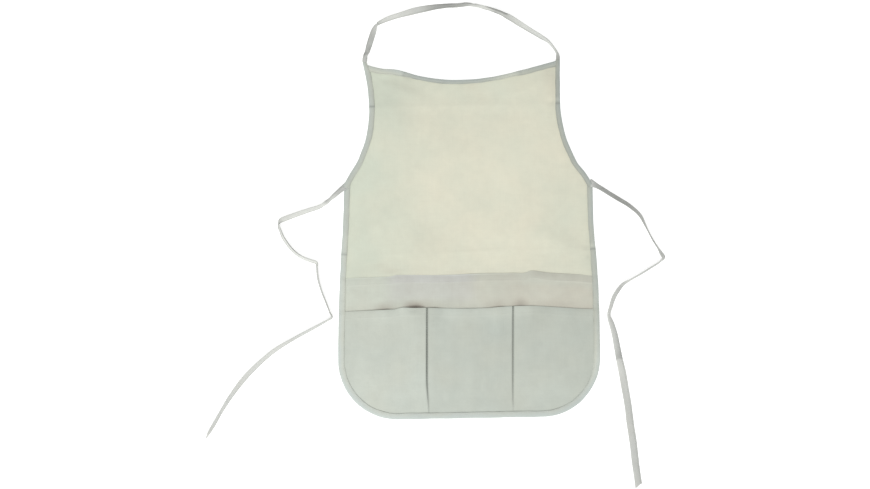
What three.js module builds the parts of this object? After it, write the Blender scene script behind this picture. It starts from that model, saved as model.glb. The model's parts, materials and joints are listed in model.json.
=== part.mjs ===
// Painter's bib apron, laid out flat with its front up. Millimetres.
// +X runs across the apron, +Y from the hem to the neck, +Z up from the surface it lies on.
// The origin is on that surface, under the middle of the apron with its neck loop.
import * as THREE from "three";

// Cloth and tape
const CLOTH = 1.0; // wall of each panel
const TAPE = 1.0; // wall of the folded edge tape
const GAP = 0.3; // air between pieces that lie on each other
const LAYER = CLOTH + GAP; // one panel and the air under it
const BINDING_WIDTH = 13; // reach of the edge tape, in from the edge
const TUCK = TAPE + GAP; // how far a panel's edge stays inside the finished edge
const NECK_TUCK = 3; // the same at the neckline, where the edge curves
const NECK_END = { left: 1.4, right: 0.6 }; // air between the neckline tape and the armhole tapes
const WAIST_SLIT = 0.2; // each tape ends this far from the waist corner
const STRAP_WIDTH = 14; // neck strap and ties
const STRAP_THICK = 1.6; // a tape folded in two and sewn
const STEPS_PER_POINT = 2; // sections of a strap or tie for each point of its route
const SETTLE_FROM = BINDING_WIDTH + 7; // from here inwards the cloth sinks to the surface
const SETTLE_TO = SETTLE_FROM + 30; // and here it lies on it
const FOLDS_FROM = 16; // soft folds begin this far in from the edge
const FOLDS_TO = 46; // and have their full height here
const SECTION_CHAMFER = 0.4; // cut corner of the folded tape's outer edge

// Skirt corners and hem, which runs a little uphill to the right
const CORNER_RADIUS = 126;
const CORNER_STEPS = 8;
const SKIRT_HALF = 280;
const HEM_LEFT = -446.5;
const HEM_RIGHT = -441;

// Finished edge of the apron above the corners: x on each side at height y.
// Both tables run one row past the waist and the top, which gives the ends their direction.
const SIDES = [
  { y: -281, left: -280, right: 280 },
  { y: -140, left: -276, right: 276 },
  { y: -24, left: -269.6, right: 267.5 },
  { y: 57, left: -267, right: 263.5 },
  { y: 100, left: -266, right: 261.5 },
];
const ARMHOLES = [
  { y: 35, left: -280, right: 276.5 },
  { y: 57, left: -267, right: 263.5 },
  { y: 79, left: -254.7, right: 250.4 },
  { y: 104, left: -239.7, right: 231 },
  { y: 130, left: -229, right: 218.3 },
  { y: 156, left: -220.4, right: 207.6 },
  { y: 181, left: -216, right: 201.2 },
  { y: 213, left: -214, right: 197 },
  { y: 246, left: -215.5, right: 195.4 },
  { y: 284, left: -220.4, right: 194.7 },
  { y: 322, left: -228, right: 194.7 },
  { y: 350, left: -233, right: 195 },
];
const WAIST = { left: 57, right: 59 };
const ARMHOLE_TOP = { left: 316, right: 321 };

// Finished edge of the neckline
const NECKLINE = [
  { x: -228, y: 315 },
  { x: -190, y: 305.5 },
  { x: -156, y: 302 },
  { x: -105, y: 289 },
  { x: -28, y: 282 },
  { x: 49, y: 288.4 },
  { x: 117, y: 303.3 },
  { x: 195, y: 323 },
];

// Cross rows of the skirt: height on the left and on the right edge
const SKIRT_ROWS = [
  { left: -284, right: -279 },
  { left: -249, right: -244 },
  { left: -214.5, right: -209 },
  { left: -180, right: -175.5 },
  { left: -146, right: -142 },
  { left: -105, right: -102 },
  { left: -60, right: -58 },
  { left: -10, right: -9 },
];
const MOUTH_ROW = CORNER_STEPS + 3;
const BAND_ROW = CORNER_STEPS + 5;
const BIB_STEPS = 12;

// Top edges of the pocket fronts and of the backing, and how far the fronts stand open
const POCKET_TOPS = [
  { x: -280, mouth: -214.5, band: -146, lift: 2 },
  { x: -235, mouth: -212.5, band: -143, lift: 5 },
  { x: -180, mouth: -209.5, band: -141, lift: 6.5 },
  { x: -122, mouth: -205.5, band: -138, lift: 9 },
  { x: -88, mouth: -206, band: -138, lift: 8 },
  { x: -40, mouth: -207.5, band: -136.5, lift: 6.5 },
  { x: 30, mouth: -207, band: -133.5, lift: 6.5 },
  { x: 95, mouth: -202.5, band: -132.5, lift: 8.5 },
  { x: 135, mouth: -201.5, band: -128, lift: 9 },
  { x: 190, mouth: -204.5, band: -135, lift: 6.5 },
  { x: 235, mouth: -207.5, band: -138, lift: 5 },
  { x: 280, mouth: -209, band: -142, lift: 2 },
];
const POCKET_FLAT = 14; // the pocket front lies flat this far in from the edge
const POCKET_RISE = 46; // and comes up to its full height over this reach

// Divider seams between the pockets: x at the mouth and at the hem
const DIVIDERS = [
  { top: -89, bottom: -86 },
  { top: 95, bottom: 94 },
];
const DIVIDER_TOP = -206;
const DIVIDER_BOTTOM = -431;
const SEAM_HALF = 1.2; // half of the strip that is sewn down
const SEAM_WALL = 2.3; // reach of the steep cloth beside it

// Soft folds of the bib and skirt: middle, direction in degrees, half length, half width, height
const FOLDS = [
  { x: -150, y: 262, turn: -28, long: 70, wide: 17, high: 2.6 },
  { x: 112, y: 262, turn: 24, long: 70, wide: 18, high: 2.2 },
  { x: -30, y: 228, turn: 0, long: 150, wide: 14, high: 1.2 },
  { x: -60, y: 110, turn: 62, long: 90, wide: 30, high: 2.4 },
  { x: 105, y: 40, turn: -58, long: 100, wide: 30, high: 2.0 },
  { x: -190, y: -30, turn: 40, long: 70, wide: 24, high: 2.2 },
  { x: 200, y: -70, turn: -20, long: 55, wide: 20, high: 1.8 },
];

// Lie of the neck strap and ties: points of the middle line, and the roll of the tape in degrees
const STRAP_ROUTE = [
  { x: -220.3, y: 317.8, roll: 8 },
  { x: -222, y: 326, roll: 50 },
  { x: -221, y: 333, roll: 66 },
  { x: -217.6, y: 341, roll: 95 },
  { x: -212.5, y: 355, roll: 132 },
  { x: -208, y: 369, roll: 145 },
  { x: -204, y: 383, roll: 142 },
  { x: -199.5, y: 394, roll: 112 },
  { x: -193.5, y: 401.5, roll: 82 },
  { x: -185, y: 408, roll: 55 },
  { x: -173, y: 412, roll: 44 },
  { x: -156, y: 417, roll: 40 },
  { x: -133, y: 423, roll: 32 },
  { x: -105, y: 430, roll: 8 },
  { x: -75, y: 435, roll: 20 },
  { x: -45, y: 438, roll: 40 },
  { x: -15, y: 440, roll: 50 },
  { x: 9, y: 440.5, roll: 66 },
  { x: 32, y: 436, roll: 56 },
  { x: 56, y: 428, roll: 58 },
  { x: 79, y: 418, roll: 58 },
  { x: 105, y: 403, roll: 50 },
  { x: 133, y: 385, roll: 50 },
  { x: 154, y: 370, roll: 58 },
  { x: 170, y: 359, roll: 68 },
  { x: 181.5, y: 347, roll: 74 },
  { x: 189, y: 336, roll: 66 },
  { x: 189, y: 329.5, roll: 42 },
  { x: 188.4, y: 322.3, roll: 8 },
];
const TIE_LEFT_ROUTE = [
  { x: -268.2, y: 49.5, roll: 15 },
  { x: -283, y: 37, roll: 48 },
  { x: -302, y: 21.5, roll: 60 },
  { x: -319, y: 12, roll: 50 },
  { x: -343, y: 1, roll: 42 },
  { x: -370, y: -8, roll: 38 },
  { x: -393, y: -16, roll: 45 },
  { x: -404, y: -23, roll: 75 },
  { x: -406, y: -34, roll: 88 },
  { x: -401, y: -51, roll: 80 },
  { x: -392, y: -68, roll: 76 },
  { x: -377, y: -85, roll: 76 },
  { x: -357, y: -99, roll: 76 },
  { x: -338, y: -108, roll: 78 },
  { x: -327, y: -111, roll: 86 },
  { x: -324, y: -121, roll: 90 },
  { x: -323, y: -144, roll: 88 },
  { x: -317, y: -167, roll: 88 },
  { x: -306, y: -194, roll: 88 },
  { x: -297, y: -219, roll: 90 },
  { x: -296, y: -229, roll: 90 },
  { x: -307, y: -236, roll: 80 },
  { x: -340, y: -255, roll: 62 },
  { x: -377, y: -277, roll: 50 },
  { x: -415, y: -301, roll: 45 },
  { x: -449, y: -328, roll: 45 },
  { x: -479, y: -360, roll: 45 },
  { x: -506, y: -394, roll: 50 },
  { x: -528, y: -429, roll: 55 },
  { x: -546, y: -460, roll: 60 },
  { x: -561, y: -484, roll: 72 },
];
const TIE_RIGHT_ROUTE = [
  { x: 265, y: 57.5, roll: -30 },
  { x: 282, y: 50, roll: -56 },
  { x: 300, y: 40, roll: -64 },
  { x: 318, y: 28.5, roll: -62 },
  { x: 346, y: 9.7, roll: -66 },
  { x: 367.5, y: -12, roll: -68 },
  { x: 376, y: -26, roll: -74 },
  { x: 384, y: -43, roll: -80 },
  { x: 394, y: -62, roll: -80 },
  { x: 404, y: -78, roll: -70 },
  { x: 412.5, y: -90, roll: -66 },
  { x: 416, y: -98.5, roll: -72 },
  { x: 409, y: -106.5, roll: -88 },
  { x: 389, y: -121, roll: -90 },
  { x: 366, y: -136, roll: -90 },
  { x: 344.5, y: -147.5, roll: -90 },
  { x: 328, y: -158, roll: -84 },
  { x: 321, y: -167, roll: -70 },
  { x: 311, y: -185, roll: -62 },
  { x: 304, y: -205, roll: -58 },
  { x: 302, y: -223, roll: -55 },
  { x: 306, y: -239, roll: -40 },
  { x: 312, y: -262, roll: -28 },
  { x: 317, y: -289, roll: -20 },
  { x: 322, y: -319, roll: -12 },
  { x: 328, y: -347, roll: -4 },
  { x: 334, y: -379, roll: 0 },
  { x: 340, y: -418, roll: 0 },
  { x: 345, y: -456, roll: 0 },
  { x: 351, y: -495, roll: 0 },
  { x: 356, y: -538, roll: 0 },
  { x: 363, y: -588, roll: 0 },
];

const { lerp, smoothstep, degToRad } = THREE.MathUtils;

// A smooth function through one column of a table
function through(rows, along, column) {
  const places = rows.map((row) => row[along]);
  const spline = new THREE.CubicInterpolant(places, rows.map((row) => row[column]), 1);
  return (at) => spline.evaluate(at)[0];
}

const necklineY = through(NECKLINE, "x", "y");
const mouthY = through(POCKET_TOPS, "x", "mouth");
const bandY = through(POCKET_TOPS, "x", "band");
const mouthLift = through(POCKET_TOPS, "x", "lift");

// One point of a side edge, with the direction that points into the cloth
function edgePoint(edge, y, side) {
  const inward = side === "left" ? 1 : -1;
  const step = 0.5;
  const lean = (edge(y + step) - edge(y - step)) / (2 * step);
  const across = new THREE.Vector2(inward, -inward * lean).normalize();
  return { at: new THREE.Vector2(edge(y), y), inward: across };
}

// Points up one side of the apron from the hem: corner, skirt side, armhole
function sideStations(side) {
  const sign = side === "left" ? -1 : 1;
  const hem = side === "left" ? HEM_LEFT : HEM_RIGHT;
  const skirtEdge = through(SIDES, "y", side);
  const armhole = through(ARMHOLES, "y", side);
  const stations = [];
  const centre = new THREE.Vector2(sign * (SKIRT_HALF - CORNER_RADIUS), hem + CORNER_RADIUS);
  for (let i = 0; i <= CORNER_STEPS; i += 1) {
    const angle = (i / CORNER_STEPS) * (Math.PI / 2);
    const inward = new THREE.Vector2(-sign * Math.sin(angle), Math.cos(angle));
    stations.push({ at: centre.clone().addScaledVector(inward, -CORNER_RADIUS), inward });
  }
  for (const row of SKIRT_ROWS) {
    stations.push(edgePoint(skirtEdge, row[side], side));
  }
  for (let i = 0; i <= BIB_STEPS; i += 1) {
    const top = necklineY(armhole(ARMHOLE_TOP[side])) - NECK_TUCK;
    stations.push(edgePoint(armhole, lerp(WAIST[side], top, i / BIB_STEPS), side));
  }
  stations.push(edgePoint(armhole, ARMHOLE_TOP[side], side));
  const below = edgePoint(skirtEdge, WAIST[side], side).inward;
  const above = stations[WAIST_ROW].inward;
  const mitre = below.clone().add(above).normalize();
  stations[WAIST_ROW].inward = mitre.divideScalar(mitre.dot(above));
  return stations;
}

const WAIST_ROW = CORNER_STEPS + SKIRT_ROWS.length + 1;
const TOP_ROW = WAIST_ROW + BIB_STEPS;

const LEFT = sideStations("left");
const RIGHT = sideStations("right");

// A point moved into the cloth from the finished edge
function insetPoint(station, distance) {
  return station.at.clone().addScaledVector(station.inward, distance);
}

// Direction of the armhole tape's inner edge at its top, long enough to span the neckline tape
function besideArmhole(side, inward) {
  const upper = insetPoint(side[TOP_ROW], BINDING_WIDTH);
  const down = insetPoint(side[TOP_ROW - 1], BINDING_WIDTH).sub(upper).normalize();
  return down.divideScalar(down.dot(inward));
}

// Points along the neckline from left to right, between the two armhole tapes
function necklineStations(steps) {
  const stations = [];
  const from = insetPoint(LEFT[TOP_ROW], BINDING_WIDTH + NECK_END.left).x;
  const to = insetPoint(RIGHT[TOP_ROW], BINDING_WIDTH + NECK_END.right).x;
  for (let i = 0; i <= steps; i += 1) {
    const x = lerp(from, to, i / steps);
    const lean = necklineY(x + 0.5) - necklineY(x - 0.5);
    const inward = new THREE.Vector2(lean, -1).normalize();
    stations.push({ at: new THREE.Vector2(x, necklineY(x)), inward });
  }
  stations[0].inward = besideArmhole(LEFT, stations[0].inward);
  stations[steps].inward = besideArmhole(RIGHT, stations[steps].inward);
  return stations;
}

// Finished outline as one ring, to tell how far a point lies from the edge
const OUTLINE = [
  ...LEFT.slice(0, TOP_ROW + 1).map((station) => station.at),
  ...necklineStations(16).map((station) => station.at),
  ...RIGHT.slice(0, TOP_ROW + 1).map((station) => station.at).reverse(),
];

function distanceFromEdge(x, y) {
  let best = Infinity;
  for (let i = 0; i < OUTLINE.length; i += 1) {
    const a = OUTLINE[i];
    const b = OUTLINE[(i + 1) % OUTLINE.length];
    const run = b.clone().sub(a);
    const along = ((x - a.x) * run.x + (y - a.y) * run.y) / run.lengthSq();
    const t = Math.min(1, Math.max(0, along));
    best = Math.min(best, Math.hypot(x - a.x - run.x * t, y - a.y - run.y * t));
  }
  return best;
}

// Underside of the body: raised on the edge tape, flat on the surface inside it
function bodyUnderside(x, y) {
  return LAYER * (1 - smoothstep(distanceFromEdge(x, y), SETTLE_FROM, SETTLE_TO));
}

// Height of the soft folds, which fade towards the edges and stay above the pockets
function foldHeight(x, y) {
  let height = 0;
  for (const fold of FOLDS) {
    const turn = degToRad(fold.turn);
    const along = (x - fold.x) * Math.cos(turn) + (y - fold.y) * Math.sin(turn);
    const across = (y - fold.y) * Math.cos(turn) - (x - fold.x) * Math.sin(turn);
    height += fold.high * Math.exp(-((along / fold.long) ** 2) - (across / fold.wide) ** 2);
  }
  const fade = smoothstep(distanceFromEdge(x, y), FOLDS_FROM, FOLDS_TO);
  return height * fade * smoothstep(y, bandY(x), bandY(x) + FOLDS_TO);
}

function dividerX(divider, y) {
  return lerp(divider.bottom, divider.top, smoothstep(y, DIVIDER_BOTTOM, DIVIDER_TOP));
}

// Height of the pocket front above the backing, 0 where it is sewn down
function pocketHeight(x, y) {
  const open = mouthLift(x);
  const down = Math.min(1, Math.max(0, (mouthY(x) - y) / (mouthY(x) - HEM_LEFT)));
  const sides = smoothstep(distanceFromEdge(x, y), POCKET_FLAT, POCKET_FLAT + POCKET_RISE);
  let seams = 1;
  for (const divider of DIVIDERS) {
    const away = Math.abs(x - dividerX(divider, y)) - SEAM_HALF;
    seams = Math.min(seams, Math.min(1, Math.max(0, away / SEAM_WALL)));
  }
  return open * Math.sqrt(1 - down * down) * sides * seams;
}

// Shares of the way from an edge to the nearest divider, and from divider to divider
const NEAR_EDGE = [0, 0.08, 0.25, 0.5, 0.75];
const BETWEEN_DIVIDERS = [0.25, 0.5, 0.75];

// Places across one row of a panel: left edge, first divider, second divider, right edge
function columnPlaces(from, to, y, seams) {
  const [first, second] = DIVIDERS.map((divider) => dividerX(divider, y));
  const reach = seams ? SEAM_HALF + SEAM_WALL : 0;
  const spread = seams ? [-reach, -SEAM_HALF, SEAM_HALF, reach] : [0];
  return [
    ...NEAR_EDGE.map((share) => lerp(from, first - reach, share)),
    ...spread.map((offset) => first + offset),
    ...BETWEEN_DIVIDERS.map((share) => lerp(first + reach, second - reach, share)),
    ...spread.map((offset) => second + offset),
    ...NEAR_EDGE.map((share) => lerp(to, second + reach, share)).reverse(),
  ];
}

// Closed sheet: the grid is its underside, and each point is carried up square to the surface
function sheetGeometry(grid, thickness) {
  const rows = grid.length;
  const columns = grid[0].length;
  const cellNormal = (r, c) => {
    const a = grid[r + 1][c + 1].clone().sub(grid[r][c]);
    const b = grid[r + 1][c].clone().sub(grid[r][c + 1]);
    return a.cross(b).normalize();
  };
  const upper = grid.map((row, r) => row.map((point, c) => {
    const around = [];
    for (const [dr, dc] of [[-1, -1], [-1, 0], [0, -1], [0, 0]]) {
      const [i, j] = [r + dr, c + dc];
      if (i >= 0 && j >= 0 && i < rows - 1 && j < columns - 1) {
        around.push(cellNormal(i, j));
      }
    }
    const normal = around.reduce((sum, n) => sum.add(n), new THREE.Vector3()).normalize();
    const lean = around.reduce((sum, n) => sum + n.dot(normal), 0) / around.length;
    return point.clone().addScaledVector(normal, thickness / lean);
  }));
  const points = [...grid.flat(), ...upper.flat()];
  const low = (r, c) => r * columns + c;
  const high = (r, c) => rows * columns + low(r, c);
  const faces = [];
  const quad = (a, b, c, d) => faces.push(a, b, c, a, c, d);
  for (let r = 0; r < rows - 1; r += 1) {
    for (let c = 0; c < columns - 1; c += 1) {
      quad(high(r, c), high(r, c + 1), high(r + 1, c + 1), high(r + 1, c));
      quad(low(r, c), low(r + 1, c), low(r + 1, c + 1), low(r, c + 1));
    }
    quad(low(r, 0), high(r, 0), high(r + 1, 0), low(r + 1, 0));
    const end = columns - 1;
    quad(low(r, end), low(r + 1, end), high(r + 1, end), high(r, end));
  }
  for (let c = 0; c < columns - 1; c += 1) {
    quad(low(0, c), low(0, c + 1), high(0, c + 1), high(0, c));
    const end = rows - 1;
    quad(low(end, c), high(end, c), high(end, c + 1), low(end, c + 1));
  }
  return new THREE.BufferGeometry().setFromPoints(points).setIndex(faces);
}

// Closed body through a line of equal sections; the section's outline closes both ends
function loftGeometry(sections, outline) {
  const count = outline.length;
  const faces = [];
  for (let s = 0; s < sections.length - 1; s += 1) {
    for (let k = 0; k < count; k += 1) {
      const next = (k + 1) % count;
      const [a, b] = [s * count + k, s * count + next];
      faces.push(a, b, b + count, a, b + count, a + count);
    }
  }
  const last = (sections.length - 1) * count;
  for (const [a, b, c] of THREE.ShapeUtils.triangulateShape(outline, [])) {
    faces.push(a, c, b, last + a, last + b, last + c);
  }
  return new THREE.BufferGeometry().setFromPoints(sections.flat()).setIndex(faces);
}

// Turns a body inside out if its faces look inwards
function faceOutwards(geometry) {
  const at = geometry.getAttribute("position");
  const index = Array.from(geometry.getIndex().array);
  const corner = [new THREE.Vector3(), new THREE.Vector3(), new THREE.Vector3()];
  let volume = 0;
  for (let i = 0; i < index.length; i += 3) {
    corner.forEach((point, k) => point.fromBufferAttribute(at, index[i + k]));
    volume += corner[0].dot(corner[1].clone().cross(corner[2])) / 6;
  }
  if (volume < 0) {
    index.reverse();
    geometry.setIndex(index);
  }
  return geometry;
}

// Section of folded tape: reach in from the edge, and height
function bindingProfile(high) {
  const [reach, cut] = [BINDING_WIDTH, SECTION_CHAMFER];
  return [
    [cut, 0], [reach, 0], [reach, TAPE], [TAPE, TAPE], [TAPE, high - TAPE],
    [reach, high - TAPE], [reach, high], [cut, high], [0, high - cut], [0, cut],
  ];
}

// Folded tape over an edge: outer face on the finished edge, one leg under and one over the panels
function bindingGeometry(stations, heights) {
  const sections = stations.map((station, i) => bindingProfile(heights[i]).map(([reach, z]) => {
    const point = insetPoint(station, reach);
    return new THREE.Vector3(point.x, point.y, z);
  }));
  const outline = bindingProfile(heights[0]).map(([x, y]) => new THREE.Vector2(x, y));
  return faceOutwards(loftGeometry(sections, outline));
}

// Flat tape along a route, rolled as the route says and resting on the surface.
// With edgeX the first section slides along the tape until it lies on the apron's side edge.
function ribbonGeometry(route, edgeX) {
  const line = new THREE.CatmullRomCurve3(route.map((point) => new THREE.Vector3(point.x, point.y, 0)));
  const steps = (route.length - 1) * STEPS_PER_POINT;
  const [w, t] = [STRAP_WIDTH / 2, STRAP_THICK / 2];
  const corners = [[-w, -t], [w, -t], [w, t], [-w, t]];
  const sections = [];
  for (let i = 0; i <= steps; i += 1) {
    const place = i / STEPS_PER_POINT;
    const k = Math.min(route.length - 2, Math.floor(place));
    const roll = degToRad(lerp(route[k].roll, route[k + 1].roll, place - k));
    const along = line.getTangent(i / steps);
    const beside = new THREE.Vector3(-along.y, along.x, 0).normalize();
    const rest = w * Math.abs(Math.sin(roll)) + t * Math.abs(Math.cos(roll));
    const middle = line.getPoint(i / steps);
    sections.push(corners.map(([u, v]) => {
      const sideways = u * Math.cos(roll) - v * Math.sin(roll);
      const upwards = u * Math.sin(roll) + v * Math.cos(roll);
      const corner = middle.clone().addScaledVector(beside, sideways).setZ(rest + upwards);
      if (i === 0 && edgeX !== undefined) {
        corner.addScaledVector(along, (edgeX - corner.x) / along.x);
      }
      return corner;
    }));
  }
  return faceOutwards(loftGeometry(sections, corners.map(([x, y]) => new THREE.Vector2(x, y))));
}

// Grid of a panel that runs from the hem up to one of the cross rows
function panelGrid(lastRow, topY, seams, underside) {
  const grid = [];
  for (let r = 0; r <= lastRow; r += 1) {
    const from = insetPoint(LEFT[r], TUCK);
    const to = insetPoint(RIGHT[r], TUCK);
    const share = smoothstep(r, CORNER_STEPS, lastRow);
    const places = columnPlaces(from.x, to.x, (from.y + to.y) / 2, seams);
    grid.push(places.map((x) => {
      const level = lerp(from.y, to.y, (x - from.x) / (to.x - from.x));
      const rise = topY ? (topY(x) - lerp(topY(from.x), topY(to.x), (x - from.x) / (to.x - from.x))) : 0;
      const y = level + rise * share;
      return new THREE.Vector3(x, y, underside(x, y));
    }));
  }
  return grid;
}

function bodyPanel() {
  const grid = panelGrid(WAIST_ROW - 1, null, false, (x, y) => bodyUnderside(x, y) + foldHeight(x, y));
  for (let r = WAIST_ROW; r <= TOP_ROW; r += 1) {
    const share = (r - WAIST_ROW) / BIB_STEPS;
    const from = insetPoint(LEFT[r], TUCK);
    const to = insetPoint(RIGHT[r], TUCK);
    grid.push(columnPlaces(from.x, to.x, from.y, false).map((x) => {
      const part = (x - from.x) / (to.x - from.x);
      const chord = lerp(necklineY(from.x), necklineY(to.x), part);
      const y = lerp(from.y, to.y, part) + (necklineY(x) - chord) * share;
      return new THREE.Vector3(x, y, bodyUnderside(x, y) + foldHeight(x, y));
    }));
  }
  return sheetGeometry(grid, CLOTH);
}

function pocketBacking() {
  return sheetGeometry(panelGrid(BAND_ROW, bandY, false, (x, y) => bodyUnderside(x, y) + LAYER), CLOTH);
}

function pocketPanel() {
  const underside = (x, y) => bodyUnderside(x, y) + 2 * LAYER + pocketHeight(x, y);
  return sheetGeometry(panelGrid(MOUTH_ROW, mouthY, true, underside), CLOTH);
}

// Height of folded tape around a number of panels
function bindingHeight(panels) {
  return 2 * TAPE + panels * CLOTH + (panels + 1) * GAP;
}

// A waist corner moved a little along the edge, so that the two tapes meeting there leave a slit
function waistEnd(stations, towards) {
  const { at, inward } = stations[WAIST_ROW];
  const run = stations[towards].at.clone().sub(at).normalize();
  return { at: at.clone().addScaledVector(run, WAIST_SLIT), inward };
}

// Side, hem and other side in one run
function skirtBinding() {
  const layers = (r) => (r <= MOUTH_ROW ? 3 : r <= BAND_ROW ? 2 : 1);
  const sides = [LEFT, RIGHT].map((stations) => [
    ...stations.slice(0, WAIST_ROW),
    waistEnd(stations, WAIST_ROW - 1),
  ]);
  const heights = sides[0].map((_, r) => bindingHeight(layers(r)));
  const stations = [...sides[0].reverse(), ...sides[1]];
  return bindingGeometry(stations, [...heights.slice().reverse(), ...heights]);
}

function armholeBinding(stations) {
  return evenBinding([waistEnd(stations, WAIST_ROW + 1), ...stations.slice(WAIST_ROW + 1)]);
}

function evenBinding(stations) {
  return bindingGeometry(stations, stations.map(() => bindingHeight(1)));
}

const PIECES = [
  { name: "body_panel", colour: 0xdddcc8, geometry: bodyPanel() },
  { name: "pocket_backing", colour: 0xcac9bd, geometry: pocketBacking() },
  { name: "pocket_panel", colour: 0xc8ccc1, geometry: pocketPanel() },
  { name: "neckline_binding", colour: 0xc6cabd, geometry: evenBinding(necklineStations(14)) },
  { name: "armhole_binding_left", colour: 0xc5c9bb, geometry: armholeBinding(LEFT) },
  { name: "armhole_binding_right", colour: 0xc0c5b8, geometry: armholeBinding(RIGHT) },
  { name: "skirt_binding", colour: 0xc6cac0, geometry: skirtBinding() },
  { name: "neck_strap", colour: 0xc4c8bd, geometry: ribbonGeometry(STRAP_ROUTE) },
  { name: "waist_tie_left", colour: 0xc7cac1, geometry: ribbonGeometry(TIE_LEFT_ROUTE, TIE_LEFT_ROUTE[0].x) },
  { name: "waist_tie_right", colour: 0xc2c6bc, geometry: ribbonGeometry(TIE_RIGHT_ROUTE, TIE_RIGHT_ROUTE[0].x) },
];

const apron = new THREE.Group();
apron.name = "painter_apron";
for (const piece of PIECES) {
  const material = new THREE.MeshStandardMaterial({ color: piece.colour, roughness: 0.9 });
  material.name = piece.name;
  const mesh = new THREE.Mesh(piece.geometry, material);
  mesh.name = piece.name;
  apron.add(mesh);
}

export default apron;
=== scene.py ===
"""Painter's bib apron laid flat with its front up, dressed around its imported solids.

Lengths are metres in the part's own frame: +X across the apron, +Y from hem to neck, +Z up.
"""

import json
import logging
import math
from dataclasses import dataclass, field
from enum import Enum
from typing import NamedTuple, Sequence

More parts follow.
